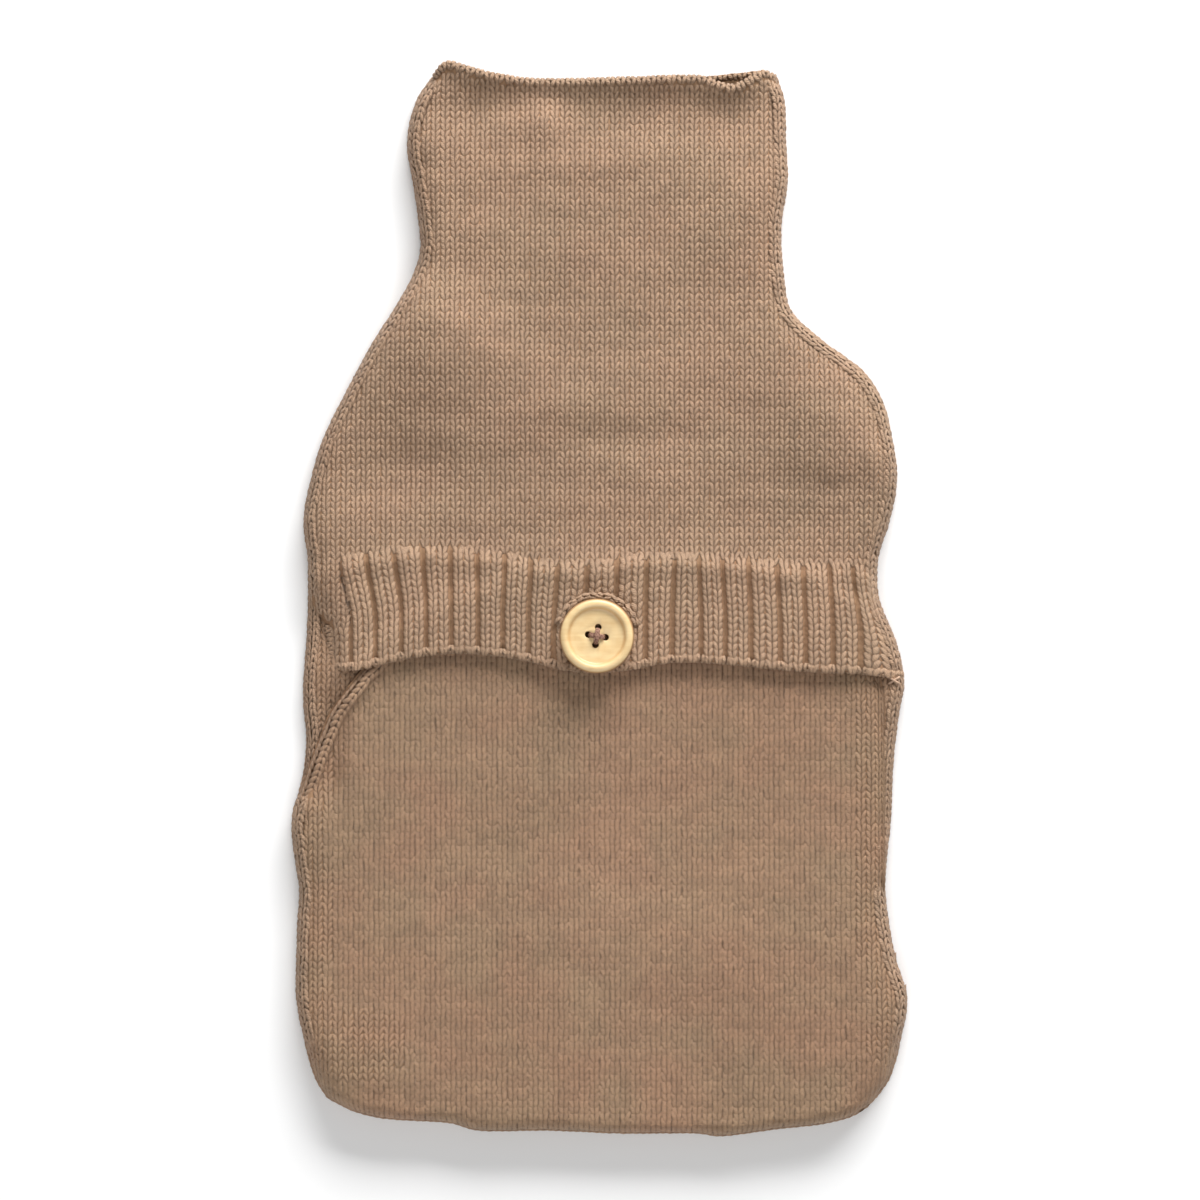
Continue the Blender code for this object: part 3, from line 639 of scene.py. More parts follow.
def knit(name, grid, chart, wales, courses, yarn, stitch, knitted=None, flip=False,
         unevenness=0.08, relief=1.0, seed=1):
    """Knits the stitches of one cloth grid as a plain mesh. chart holds each grid place's wale and course."""
    counted = np.stack([chart[0] / wales, chart[1] / courses], axis=-1)
    mesh = grid_mesh(name, chart_margin(np.concatenate([grid, counted], axis=-1)), flip)
    mark = np.ones(grid.shape[:2]) if knitted is None else knitted.astype(float)
    layer = mesh.attributes.new("knitted", "FLOAT", "POINT")
    layer.data.foreach_set("value", np.pad(mark, 1, constant_values=-2.0).ravel().astype(np.float32))
    guide = bpy.data.objects.new(name + "_guide", mesh)
    scene.collection.objects.link(guide)
    scene.collection.objects.link(stitch)
    modifier = guide.modifiers.new("knitting", "NODES")
    modifier.node_group = knit_tree
    values = {"Stitch": stitch, "Wales": wales, "Courses": courses, "Unevenness": unevenness,
              "Relief": relief, "Seed": seed, "Yarn": yarn}
    for item in knit_tree.interface.items_tree:
        if item.name in values:
            modifier[item.identifier] = values[item.name]
    graph = bpy.context.evaluated_depsgraph_get()
    made = bpy.data.meshes.new_from_object(guide.evaluated_get(graph))
    bpy.data.objects.remove(guide)
    scene.collection.objects.unlink(stitch)
    made.attributes.remove(made.attributes["middle"])
    made.shade_smooth()
    return plain_piece(name, made)


def knit_strip(name, grid, over, step, yarn, stitch, turned=False, **options):
    """Knits a narrow grid with so many stitches over its width and a step between stitches along it. Its
    wales run along it or, turned, across it."""
    steps = np.linalg.norm(np.diff(grid, axis=1), axis=-1).mean(axis=0)
    over_shares = np.concatenate([[0.0], np.cumsum(steps)]) / steps.sum()
    over_place = np.broadcast_to(over_shares * over, grid.shape[:2])
    runs = np.linalg.norm(np.diff(grid.mean(axis=1), axis=0), axis=-1)
    count = round(runs.sum() / step)
    along = np.concatenate([[0.0], np.cumsum(runs)]) / runs.sum() * count
    along_place = np.broadcast_to(along[:, None], grid.shape[:2])
    if turned:
        # Mirrored so that the chart faces out of the cloth.
        chart = (count - along_place[::-1], over_place[::-1])
        return knit(name, grid[::-1], chart, count, over, yarn, stitch, flip=True, **options)
    return knit(name, grid, (over_place, along_place), over, count, yarn, stitch, **options)


TAUPE = (0.352, 0.218, 0.132)
# Painted shade: the cloth behind the stitches is coloured darker than the yarn.
TAUPE_SHADE = (0.31, 0.186, 0.108)
# Painted shade: the inside of the neck's mouth is coloured darker, yarn and cloth alike.
INNER_SHADED_TAUPE = (0.25, 0.148, 0.086)
INNER_SHADE = (0.2, 0.117, 0.066)
ground_cloth = make_ground("taupe cloth in the gaps", TAUPE_SHADE)
back_yarn = make_yarn("taupe yarn of the back", TAUPE, 0.08, 0.85, 0.25)
inner_shaded_cloth = make_ground("taupe cloth in the shade", INNER_SHADE)
inner_shaded_yarn = make_yarn("taupe yarn inside the neck", INNER_SHADED_TAUPE, 0.08, 0.85, 0.25)

side_bottom, side_top = SILHOUETTE[0][0], SILHOUETTE[-1][0]
BACK_OUTLINE = side_line(side_bottom, side_top)[::-1] + edge_line(BOTTOM_EDGE)[1:-1]
BACK_OUTLINE += side_line(side_bottom, side_top, 2) + edge_line(BACK_NECK_EDGE)[-2::-1]
back_rise = bunched(120, 0, 0.5)
side_y = lerp(side_bottom, side_top, back_rise)
back_x, back_y = patch(
    bunched(90, 1, 0.6), back_rise, (through(SILHOUETTE, side_y), side_y),
    (through(SILHOUETTE, side_y, 2), side_y), BOTTOM_EDGE, BACK_NECK_EDGE,
)
RIGHT_OPENING_FOOT = -104.0
# Rows in which the back curls up at its openings. Columns: lowest y, highest y, fade below, fade above.
LEFT_PUFF_ROWS = (-66.0, 8.0, 14.0, 10.0)
RIGHT_PUFF_ROWS = (RIGHT_OPENING_FOOT, -22.0, 6.0, 4.0)
LEFT_PUFF_START, LEFT_PUFF_REACH = -72.0, 12.0
# On the right it starts just under the lower front's edge, and gets higher up the opening.
RIGHT_PUFF_START, RIGHT_PUFF_REACH = -2.6, 2.8
RIGHT_PUFF_RISE, RIGHT_PUFF_LENGTH = -62.0, 34.0
# The left opening's corner curls up most.
CORNER_X, CORNER_Y, CORNER_WIDE, CORNER_HIGH = -85.0, -26.0, 9.0, 10.0


def between(at, low, high, fade_low, fade_high):
    """Share that is 0 outside two places and comes to 1 between them, over a length inside each."""
    return smoothstep((at - low) / fade_low) * smoothstep((high - at) / fade_high)


def puff(x, y):
    """Height that the back gains at its sides, where the openings leave it free and it curls up."""
    left = between(y, *LEFT_PUFF_ROWS) * smoothstep((LEFT_PUFF_START - x) / LEFT_PUFF_REACH)
    corner_across, corner_up = (x - CORNER_X) / CORNER_WIDE, (y - CORNER_Y) / CORNER_HIGH
    corner = CORNER_PUFF * np.exp(-(corner_across**2) - corner_up**2)
    past_front = x - through(LOWER_RIGHT_EDGE, y)
    right = between(y, *RIGHT_PUFF_ROWS) * smoothstep((past_front - RIGHT_PUFF_START) / RIGHT_PUFF_REACH)
    risen = smoothstep((y - RIGHT_PUFF_RISE) / RIGHT_PUFF_LENGTH)
    return LEFT_PUFF * left + corner + right * lerp(RIGHT_PUFF_LOW, RIGHT_PUFF_HIGH, risen)


back_inward = in_from_edge(BACK_OUTLINE, back_x, back_y)
PUFF_EASE = 3.0
back_z = BACK_TOP + puff(back_x, back_y) * smoothstep(back_inward / PUFF_EASE)
back_grid = np.stack([back_x, back_y, back_z], axis=-1)
back_cloth = thick_cloth("back_cloth", back_grid, ground_cloth, 0.0)
under_grid = back_grid.copy()
under_grid[..., 2] = UNDER_CARRIER
BACK_WALES, BACK_COURSES = 64, 174
BACK_CHART_FOOT = -186.0
STITCH_MARGIN = 1.0
back_chart = (BACK_WALES / 2 + back_x / WALE, (back_y - BACK_CHART_FOOT) / COURSE)
on_back = back_inward > STITCH_MARGIN
back_stitches = knit(
    "back_stitches", under_grid, back_chart, BACK_WALES, BACK_COURSES, back_yarn, plain_stitch, flip=True,
    relief=0.9, seed=11, knitted=on_back,
)
# The margins turned over at both openings, and the purl side in the mouth of the neck, in yarn painted darker
# as shade.
LEFT_MARGIN_X, LEFT_MARGIN_FOOT = -70.0, -70.0
MARGIN_OVERLAP, MARGIN_TOP = 3.0, 8.0
MOUTH_START = 166.0
left_margin = (back_x < LEFT_MARGIN_X) & (back_y > LEFT_MARGIN_FOOT)
right_margin = (back_x > through(LOWER_RIGHT_EDGE, back_y) - MARGIN_OVERLAP) & (back_y > RIGHT_OPENING_FOOT)
at_openings = (left_margin | right_margin) & (back_y < MARGIN_TOP)
in_mouth = back_y > MOUTH_START
inner_stitches = knit(
    "inner_stitches", back_grid, back_chart, BACK_WALES, BACK_COURSES, inner_shaded_yarn, purl_stitch,
    seed=13, knitted=in_mouth & on_back,
)
margin_stitches = knit(
    "margin_stitches", back_grid, back_chart, BACK_WALES, BACK_COURSES, back_yarn, full_stitch,
    relief=0.6, seed=17, knitted=at_openings & on_back,
)
# The back's own edge at the neck is rolled, and lies just clear of the table.
BACK_EDGE_ROLL = 0.9
BACK_EDGE_MIDDLE = 1.35
BACK_EDGE_TUCK = 0.8
back_edge_angle = np.radians(np.linspace(150.0, -100.0, 12))
back_edge_out = BACK_EDGE_ROLL * (np.cos(back_edge_angle) - BACK_EDGE_TUCK)
back_edge_x, back_edge_y = strip(edge_line(BACK_NECK_EDGE, 1.0)[::-1], back_edge_out)
back_edge_z = np.broadcast_to(BACK_EDGE_MIDDLE + BACK_EDGE_ROLL * np.sin(back_edge_angle), back_edge_x.shape)
back_neck_edge = knit_strip(
    "back_neck_edge", np.stack([back_edge_x, back_edge_y, back_edge_z], axis=-1), 2, WALE, back_yarn,
    full_stitch, turned=True, unevenness=0.1, relief=0.8, seed=19,
)
# Painted shade: the back's cloth in the mouth of the neck gets the darker colour.
back_cloth.data.materials.append(inner_shaded_cloth)
for face in back_cloth.data.polygons:
    face.material_index = int(face.center.y > MOUTH_START * MM)
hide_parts("back_panel")

# ---------------------------------------------------------------------------------------------------------
# Lower front. A piece of stockinette sewn to the back down both sides and along the bottom. Its free top
# edge slants up under the flap and rolls outwards, as cast-off stockinette does.
LOWER_WALE = 3.5
SEAM_END = -156.0
SEAM_FADE = 12.0
LOWER_COURSE = 2.23
SEAT = 2.8
CROWN = 8.4
CROWN_REACH = 9.5
BOTTOM_REACH = 4.0
OPENING_REACH = 4.5
OPENING_EDGE = 0.8
STITCH_REST = 0.18
CARRIER_REST = 0.30
LOWER_CARRIER_REST = 0.21
ROLL_HEIGHT = 0.9
ROLL_CENTRE = 2.2
ROLL_WIDTH = 2.0
TROUGH_DEPTH = 0.9
TROUGH_CENTRE = 7.5
TROUGH_WIDTH = 3.0
ROLL_HIDDEN = -74.0
ROLL_FADE = 10.0
SAG_START, SAG_REACH = -84.5, 8.0
SAG_ROWS = (-75.0, 10.0, 15.0, 15.0)
SAG = 0.3
BAND_TOP = 13.5
FRONT_LOWEST = BACK_TOP + 0.15
RIGHT_OPENING_FADE = 10.0
EDGE_STEP = 2.3

LOWER_TOP_EDGE = (
    (-102.5, -68.5),
    (-99.5, -60.0),
    (-97.0, -52.5),
    (-94.0, -45.5),
    (-91.0, -38.5),
    (-87.5, -33.5),
    (-84.0, -29.0),
    (-80.5, -24.5),
    (-73.0, -17.5),
    (-58.0, -8.5),
    (-40.0, -1.5),
    (-20.0, 5.0),
    (0.0, 7.5),
    (34.0, 8.0),
    (68.0, 3.0),
    (92.0, -9.0),
)
LOWER_LEFT_TOP = LOWER_TOP_EDGE[0][1]

# Soft folds of the front. Columns: x, y, half length, half width above, half width below, direction in
# degrees, height.
FOLDS = (
    (-51.0, 91.0, 20.0, 9.0, 24.0, -29.0, 5.8),
    (-71.0, 41.0, 17.0, 18.0, 7.0, 4.0, -3.6),
    (-7.0, 67.0, 30.0, 7.0, 9.0, 16.0, 1.7),
    (-3.0, 54.0, 30.0, 7.0, 7.0, 14.0, -0.8),
    (79.0, 60.0, 19.0, 10.0, 13.0, -48.0, 4.3),
    (94.0, 59.0, 5.0, 5.0, 5.0, 0.0, -1.0),
    (96.0, 50.0, 6.0, 5.0, 5.0, 0.0, 1.1),
    (46.0, 134.0, 14.0, 8.0, 12.0, 22.0, 2.0),
    (-45.0, 163.0, 7.0, 6.0, 5.0, 0.0, -2.3),
    (-19.0, 163.0, 5.0, 4.0, 7.0, 0.0, 2.8),
    (22.0, 162.0, 30.0, 6.0, 5.0, 2.0, -2.0),
    (10.0, 146.0, 34.0, 7.0, 9.0, 5.0, 0.8),
    (-20.0, 122.0, 34.0, 6.0, 9.0, -4.0, 0.8),
    (0.0, 24.0, 70.0, 8.0, 6.0, 2.0, -0.7),
    (-82.0, -157.0, 15.0, 11.0, 8.0, -20.0, 2.0),
    (-93.0, -113.0, 8.0, 22.0, 22.0, 0.0, -0.8),
    (96.0, -143.0, 7.0, 12.0, 12.0, 0.0, 1.2),
    (-35.0, -68.0, 30.0, 12.0, 12.0, 12.0, 0.5),
    (0.0, -76.0, 75.0, 34.0, 20.0, 0.0, -1.9),
    (30.0, -122.0, 40.0, 14.0, 14.0, -10.0, 0.6),
    (52.0, -60.0, 26.0, 12.0, 12.0, -20.0, -0.4),
)
RIPPLE = 0.6
RIPPLE_LENGTH = 26.0
RIPPLE_WIDTH = 8.5
LOWER_CALM = 0.4


def folds(x, y):
    """Height of the soft folds at each place."""
    total = np.zeros_like(x)
    for fold_x, fold_y, half_length, above, below, direction, height in FOLDS:
        turn = math.radians(direction)
        across, up = x - fold_x, y - fold_y
        length = (across * math.cos(turn) + up * math.sin(turn)) / half_length
        width = up * math.cos(turn) - across * math.sin(turn)
        width = width / np.where(width > 0.0, above, below)
        total += height * np.exp(-0.5 * (length**2 + width**2))
    return total


def ripples(x, y):
    """Height of the low waves that uneven stitches give the cloth, longer across than up."""
    spots = zip(np.ravel(x) / RIPPLE_LENGTH, np.ravel(y) / RIPPLE_WIDTH)
    heights = [noise.noise(Vector((across, up, 0.0))) for across, up in spots]
    return RIPPLE * np.reshape(heights, np.shape(x))


def seam_rise(distance, reach=CROWN_REACH):
    """Share of the crown that the cloth has reached at a distance from its seam, on a quarter ellipse."""
    left = np.maximum(0.0, 1.0 - distance / reach)
    return np.sqrt(np.maximum(0.0, 1.0 - left**2))


def turned_down(distance, reach=CROWN_REACH):
    """Length of cloth that the turn down to the seam takes up, beyond what shows from above."""
    first = np.arccos(np.clip(1.0 - distance / reach, 0.0, 1.0))
    steps = 40
    length = 0.0
    for step in range(steps):
        turn = lerp(first, math.pi / 2, (step + 0.5) / steps)
        length = length + np.hypot(reach * np.sin(turn), CROWN * np.cos(turn)) * (math.pi / 2 - first) / steps
    return length - np.maximum(reach - distance, 0.0)


def sag(x, y):
    """Share of its height that the loose cloth loses at the left opening."""
    return SAG * between(y, *SAG_ROWS) * smoothstep((SAG_START - x) / SAG_REACH)


def roll(distance, trough_centre=TROUGH_CENTRE, trough_width=TROUGH_WIDTH, strength=1.0):
    """Height of a rolled edge, with the trough behind it, at a distance from the edge."""
    bead = ROLL_HEIGHT * np.exp(-(((distance - ROLL_CENTRE) / ROLL_WIDTH) ** 2))
    return strength * (bead - TROUGH_DEPTH * np.exp(-(((distance - trough_centre) / trough_width) ** 2)))


def lower_right(y):
    return np.where(y > LOWER_RIGHT_EDGE[0][0], through(LOWER_RIGHT_EDGE, y), through(SILHOUETTE, y, 2))


def at_right_opening(x, y):
    return smoothstep((y - RIGHT_OPENING_FOOT) / RIGHT_OPENING_FADE) * (x > 0.0)


def foot_reach(outward):
    """Width of the turn down to the seam, which is narrow along the bottom."""
    return lerp(CROWN_REACH, BOTTOM_REACH, np.minimum(outward[1], 0.0) ** 2)


def lower_reach(x, y, outward):
    """The same width, which is narrow at the right opening too."""
    return lerp(foot_reach(outward), OPENING_REACH, at_right_opening(x, y))


def lower_level(x, y):
    """Height of the outer face of the lower front."""
    in_sight = smoothstep((ROLL_HIDDEN - x) / ROLL_FADE)
    rolled = in_sight * roll(from_line(edge_line(LOWER_TOP_EDGE), x, y)[0])
    crown = CROWN * (1.0 - sag(x, y)) + folds(x, y) + LOWER_CALM * ripples(x, y) + rolled
    distance, outward = from_line(lower_seam, x, y)
    risen = seam_rise(distance, lower_reach(x, y, outward))
    return SEAT + crown * np.maximum(risen, OPENING_EDGE * at_right_opening(x, y))


FLAP_LOW_EDGE = (
    (-93.0, -24.0),
    (-81.5, -23.5),
    (-71.0, -21.0),
    (-61.0, -19.0),
    (-48.0, -18.0),
    (-34.0, -19.0),
    (-23.0, -21.0),
    (-12.5, -23.5),
    (-1.5, -24.5),
    (11.0, -23.5),
    (21.0, -21.5),
    (32.5, -21.0),
    (46.5, -22.0),
    (61.0, -23.5),
    (75.0, -24.5),
    (89.0, -25.0),
    (103.5, -27.0),
)

lower_bottom, lower_right_top = SILHOUETTE[0][0], LOWER_RIGHT_EDGE[-1][0]
lower_seam = side_line(lower_bottom, BAND_TOP)[::-1] + edge_line(BOTTOM_EDGE)[1:-1]
lower_seam += [(float(lower_right(y)), y) for x, y in side_line(lower_bottom, lower_right_top, 2)]
rise = bunched(110, 0)
left_y = lerp(lower_bottom, LOWER_LEFT_TOP, rise)
right_y = lerp(lower_bottom, lower_right_top, rise)
lower_x, lower_y = patch(
    bunched(104, 1), rise, (through(SILHOUETTE, left_y), left_y), (lower_right(right_y), right_y),
    BOTTOM_EDGE, LOWER_TOP_EDGE,
)
seam_distance, outward = from_line(lower_seam, lower_x, lower_y)
edge_distance = from_line(edge_line(LOWER_TOP_EDGE), lower_x, lower_y)[0]
lower_grid = np.stack([lower_x, lower_y, lower_level(lower_x, lower_y)], axis=-1)
lower_cloth = thick_cloth("lower_cloth", sunk(lower_grid, STITCH_REST), ground_cloth, FRONT_LOWEST)

SOFT_LEG = (
    (0.0, 0.0, 0.0, 0.16),
    (0.1, 0.25, 0.13, 0.22),
    (0.5, 0.27, 0.12, 0.19),
    (0.93, 0.25, 0.12, 0.13),
    (1.0, 0.0, 0.0, 0.1),
)
SOFT_LEGS = ((-0.15, -0.84, -0.34, 0.76), (0.15, -0.84, 0.34, 0.76))
soft_stitch = stitch_template("soft_stitch", SOFT_LEGS, SOFT_LEG)
LOWER_TAUPE = (0.333, 0.204, 0.121)
lower_yarn = make_yarn("taupe yarn of the lower front", LOWER_TAUPE, 0.1, 0.95, 0.2, 1.0)
extra = turned_down(seam_distance, foot_reach(outward))
LOWER_WALES, LOWER_COURSES = 64, 94
LOWER_CHART_FOOT = -195.0
lower_chart = (
    LOWER_WALES / 2 + (lower_x + outward[0] * extra) / LOWER_WALE,
    (lower_y + outward[1] * extra - LOWER_CHART_FOOT) / LOWER_COURSE,
)
UNDER_FLAP, ROLL_MARGIN = 9.0, 3.0
SEWN_MARGIN, FREE_MARGIN = 1.5, 0.1
not_under_flap = lower_y < through(FLAP_LOW_EDGE, lower_x) + UNDER_FLAP
off_roll = (edge_distance > ROLL_MARGIN) | (lower_x > ROLL_HIDDEN)
sewn = (lower_y > SEAM_END + SEAM_FADE) & ((lower_x < 0.0) | (lower_y < RIGHT_OPENING_FOOT))
in_sight = not_under_flap & off_roll & (seam_distance > np.where(sewn, SEWN_MARGIN, FREE_MARGIN))
# Along both sides and in the left corner the stitches are looser, and stand out more.
LOOSE_WIDTH, LOOSE_INNER = 11.0, 70.0
LOOSE_X, LOOSE_Y, LOOSE_WIDE, LOOSE_HIGH = -82.0, -152.0, 16.0, 13.0
loose = (seam_distance < LOOSE_WIDTH) & (lower_y > SEAM_END) & (np.abs(lower_x) > LOOSE_INNER)
loose = loose | (((lower_x - LOOSE_X) / LOOSE_WIDE) ** 2 + ((lower_y - LOOSE_Y) / LOOSE_HIGH) ** 2 < 1.0)
lower_carrier = sunk(lower_grid, LOWER_CARRIER_REST)
lower_stitches, loose_stitches = (
    knit(name, lower_carrier, lower_chart, LOWER_WALES, LOWER_COURSES, lower_yarn, stitch,
         knitted=in_sight & where, unevenness=0.09, relief=relief, seed=seed)
    for name, stitch, where, relief, seed in (("lower_stitches", soft_stitch, ~loose, 0.7, 23),
                                              ("loose_stitches", full_stitch, loose, 0.65, 27))
)


def rolled_edge(chain, level, radius, lowered, first=150.0, last=-50.0, spread=1.0):
    """Grid on a roll of cloth along a chain of points, from its inner side over the top to its outer side."""
    angle = np.radians(np.linspace(first, last, 15))
    x, y = strip(chain, spread * radius * (np.cos(angle) - 1.0))
    middle_x, middle_y = strip(chain, np.array([-spread * radius]))
    z = level(middle_x, middle_y) - lowered + radius * np.sin(angle)
    return np.stack([x, y, z], axis=-1)


LOWER_ROLL = 1.8
ROLL_FOOT, ROLL_FOOT_FADE, ROLL_FOOT_SINK = -96.0, 5.0, 2.2


def rolled_level(x, y):
    """Height of the rolled top edge, whose foot goes in under the side seam."""
    return lower_level(x, y) - ROLL_FOOT_SINK * smoothstep((ROLL_FOOT - x) / ROLL_FOOT_FADE)


visible_edge = [place for place in edge_line(LOWER_TOP_EDGE, 1.0) if place[0] < ROLL_HIDDEN][::-1]
lower_edge = knit_strip(
    "lower_edge", rolled_edge(visible_edge, rolled_level, LOWER_ROLL, 0.8, 155.0, -60.0, 1.3), 2, EDGE_STEP,
    back_yarn, full_stitch, unevenness=0.1, relief=0.9, seed=29,
)
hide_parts("lower_front")

# ---------------------------------------------------------------------------------------------------------
# Upper front. One knitted piece from the neck to the flap: stockinette over the neck and the shoulders, then
# a band of two-stitch ribs whose lower edge is free. It is sewn to the back at the sides above the flap.
FLAP_LIFT = 2.0
LIFT_START = 11.0
LIFT_END = 3.0
FOLDS_FADE = 10.0
NECK_TOP = 179.0
RIB_HEIGHT = 0.95
VALLEY_DEPTH = 0.6
RIB_HEAD = 0.9
RIB_RISE = 4.0
FLAP_SEWN = 104.0
FLAP_SEWN_REACH = 22.0
BUTTON_X = -0.9
BUTTON_Y = -12.4
RIB_FLAT_RADIUS = 10.5
RIB_FULL_RADIUS = 16.0
RIB_PLACES = (0.0, 0.07, 0.16, 0.33, 0.5, 0.67, 0.84, 0.93)
PLAIN_MARGIN_END = -9.0
NECK_TROUGH_CENTRE, NECK_TROUGH_WIDTH, NECK_ROLL_STRENGTH = 10.0, 5.0, 1.3
FLAP_RIGHT_END = FLAP_LOW_EDGE[-1][1]

# The front's neck edge runs as the back's does, but dips beside its right corner. Columns: x, y.
FRONT_NECK_EDGE = BACK_NECK_EDGE[:7] + (
    (34.0, 178.5),
    (40.0, 176.5),
    (46.0, 175.5),
    (52.0, 178.5),
    (56.0, 180.5),
    (60.5, 179.0),
)
# The flap's left corner is free of the seam below the rib band. Columns: y, left x.
FLAP_LEFT_EDGE = (
    (-24.0, -93.0),
    (-15.0, -92.8),
    (-10.0, -93.8),
    (-6.5, -96.0),
    (-3.0, -98.4),
    (1.5, -99.5),
)
# Painted shade for the cloth of the rib band.
VALLEY_SHADE = (0.265, 0.157, 0.091)
# Valleys between the ribs. Columns: x at the top of the band, x at the flap's edge. The ribs have come to
# their lower places at RIB_TURN below the top of the band.
RIB_TURN = 24.0
RIB_VALLEYS = (
    (-88.8, -84.8),
    (-79.6, -76.4),
    (-70.2, -67.5),
    (-60.4, -59.1),
    (-50.9, -50.6),
    (-41.8, -41.4),
    (-32.3, -33.0),
    (-23.5, -24.2),
    (-14.4, -15.7),
    (-4.3, -5.3),
    (6.0, 5.2),
    (16.0, 15.6),
    (25.6, 24.6),
    (33.9, 34.6),
    (41.8, 42.8),
    (50.8, 51.5),
    (60.5, 61.6),
    (69.4, 70.1),
    (78.4, 79.5),
    (86.3, 88.8),
)


def flap_left(y):
    return np.where(y < FLAP_LEFT_EDGE[-1][0], through(FLAP_LEFT_EDGE, y), through(SILHOUETTE, y))


def from_seams(x, y):
    """Distance from the nearer side of the upper front, and the direction out of it there."""
    left_distance, left_outward = from_line(left_seam, x, y)
    right_distance, right_outward = from_line(right_seam, x, y)
    outward = np.where(left_distance < right_distance, left_outward, right_outward)
    return np.minimum(left_distance, right_distance), outward


def flap_lift(x, y):
    """Height that the flap gains by lying on the lower front."""
    above = y - through(LOWER_TOP_EDGE, x)
    return FLAP_LIFT * smoothstep((LIFT_START - above) / (LIFT_START - LIFT_END))


def upper_level(x, y):
    """Height of the outer face of the upper front, without its ribs."""
    above_band = smoothstep((y - BAND_TOP) / FOLDS_FADE)
    from_neck = from_line(edge_line(FRONT_NECK_EDGE), x, y)[0]
    rolled = roll(from_neck, NECK_TROUGH_CENTRE, NECK_TROUGH_WIDTH, NECK_ROLL_STRENGTH)
    lift = flap_lift(x, y) * smoothstep((FLAP_SEWN - x) / FLAP_SEWN_REACH)
    crown = CROWN * (1.0 - sag(x, y)) + lift + above_band * (folds(x, y) + ripples(x, y)) + rolled
    return SEAT + crown * seam_rise(from_seams(x, y)[0])


# Each column of the grid has a rib number: 0 and 21 are the sides, and whole numbers between are valleys.
RIB_COUNT = len(RIB_VALLEYS)
LEFT_PLACES = (0.0, 0.03, 0.08, 0.16, 0.3, 0.5, 0.75, 0.93)
RIGHT_PLACES = (0.0, 0.07, 0.15, 0.3, 0.45, 0.6, 0.72, 0.84, 0.93, 0.98, 1.0)
middle_numbers = (np.arange(1, RIB_COUNT)[:, None] + np.array(RIB_PLACES)).ravel()
rib_number = np.concatenate([LEFT_PLACES, middle_numbers, RIB_COUNT + np.array(RIGHT_PLACES)])
BAND_ROWS, PLAIN_ROWS = 27, 92
BAND_BUNCHING = 1.15
flap_bottom = FLAP_LOW_EDGE[0][1]
row_y = np.concatenate([
    flap_bottom + (BAND_TOP - flap_bottom) * (np.linspace(0.0, 1.0, BAND_ROWS) ** BAND_BUNCHING),
    np.linspace(BAND_TOP, NECK_TOP, PLAIN_ROWS)[1:],
])[:, None]
rise = (row_y - flap_bottom) / (NECK_TOP - flap_bottom)
right_y = lerp(FLAP_RIGHT_END, NECK_TOP, rise)
on_band = smoothstep((BAND_TOP - row_y) / RIB_TURN)
share_left = np.where(on_band > 0.0, flap_left(row_y), flap_left(BAND_TOP))
share_right = np.where(on_band > 0.0, through(SILHOUETTE, right_y, 2), through(SILHOUETTE, BAND_TOP, 2))
high_valleys, low_valleys = np.array(RIB_VALLEYS).T
valley_shares = (lerp(high_valleys, low_valleys, on_band) - share_left) / (share_right - share_left)
upper_share = np.stack([
    np.interp(rib_number, np.arange(RIB_COUNT + 2), [0.0, *shares, 1.0]) for shares in valley_shares])
upper_x, upper_y = patch(
    upper_share, rise, (flap_left(row_y), row_y), (through(SILHOUETTE, right_y, 2), right_y),
    FLAP_LOW_EDGE, FRONT_NECK_EDGE,
)
left_seam = [(float(flap_left(y)), y) for x, y in side_line(flap_bottom, NECK_TOP)][::-1]
right_seam = side_line(FLAP_RIGHT_END, NECK_TOP, 2)
neck_distance = from_line(edge_line(FRONT_NECK_EDGE), upper_x, upper_y)[0]
seam_distance, outward = from_seams(upper_x, upper_y)
rib_place = rib_number % 1.0
RIB_SQUARENESS = 5
rib_shape = 1.0 - np.abs(2.0 * rib_place - 1.0) ** RIB_SQUARENESS
rib_shape = np.broadcast_to(rib_shape[None, :], upper_x.shape)
from_button = np.hypot(upper_x - BUTTON_X, upper_y - BUTTON_Y)
rib_size = smoothstep((from_button - RIB_FLAT_RADIUS) / (RIB_FULL_RADIUS - RIB_FLAT_RADIUS))
rib_size = rib_size * seam_rise(seam_distance) * smoothstep((BAND_TOP - row_y) / RIB_RISE)
# Left of the first valley the band is plain down to where its corner comes free.
MARGIN_RIB_LOW, MARGIN_RIB_HIGH = 0.2, 0.8
MARGIN_RIB_TOP, MARGIN_RIB_FADE = 2.0, 12.0
FIRST_VALLEY_END = 1.1
before_ribs = np.broadcast_to(rib_number < 1.0, upper_x.shape)
margin_rib = lerp(MARGIN_RIB_LOW, MARGIN_RIB_HIGH, smoothstep((MARGIN_RIB_TOP - upper_y) / MARGIN_RIB_FADE))
rib_size = rib_size * np.where(before_ribs, margin_rib, 1.0)
plain_margin = np.broadcast_to(rib_number < FIRST_VALLEY_END, upper_x.shape) & (upper_y > PLAIN_MARGIN_END)
rib_crest = RIB_HEIGHT + RIB_HEAD * np.exp(-(((BAND_TOP - RIB_RISE - row_y) / RIB_RISE) ** 2))
upper_z = upper_level(upper_x, upper_y) + rib_size * ((rib_crest + VALLEY_DEPTH) * rib_shape - VALLEY_DEPTH)
upper_grid = np.stack([upper_x, upper_y, upper_z], axis=-1)
upper_cloth = thick_cloth("upper_cloth", sunk(upper_grid, STITCH_REST), ground_cloth, FRONT_LOWEST)
# Painted shade: the rib band's cloth, where the purl stitches of the valleys lie, is coloured darker.
VALLEY_TOP = BAND_TOP - 1.0
upper_cloth.data.materials.append(make_ground("taupe cloth in the valleys", VALLEY_SHADE))
for face in upper_cloth.data.polygons:
    face.material_index = int(face.center.y < VALLEY_TOP * MM)

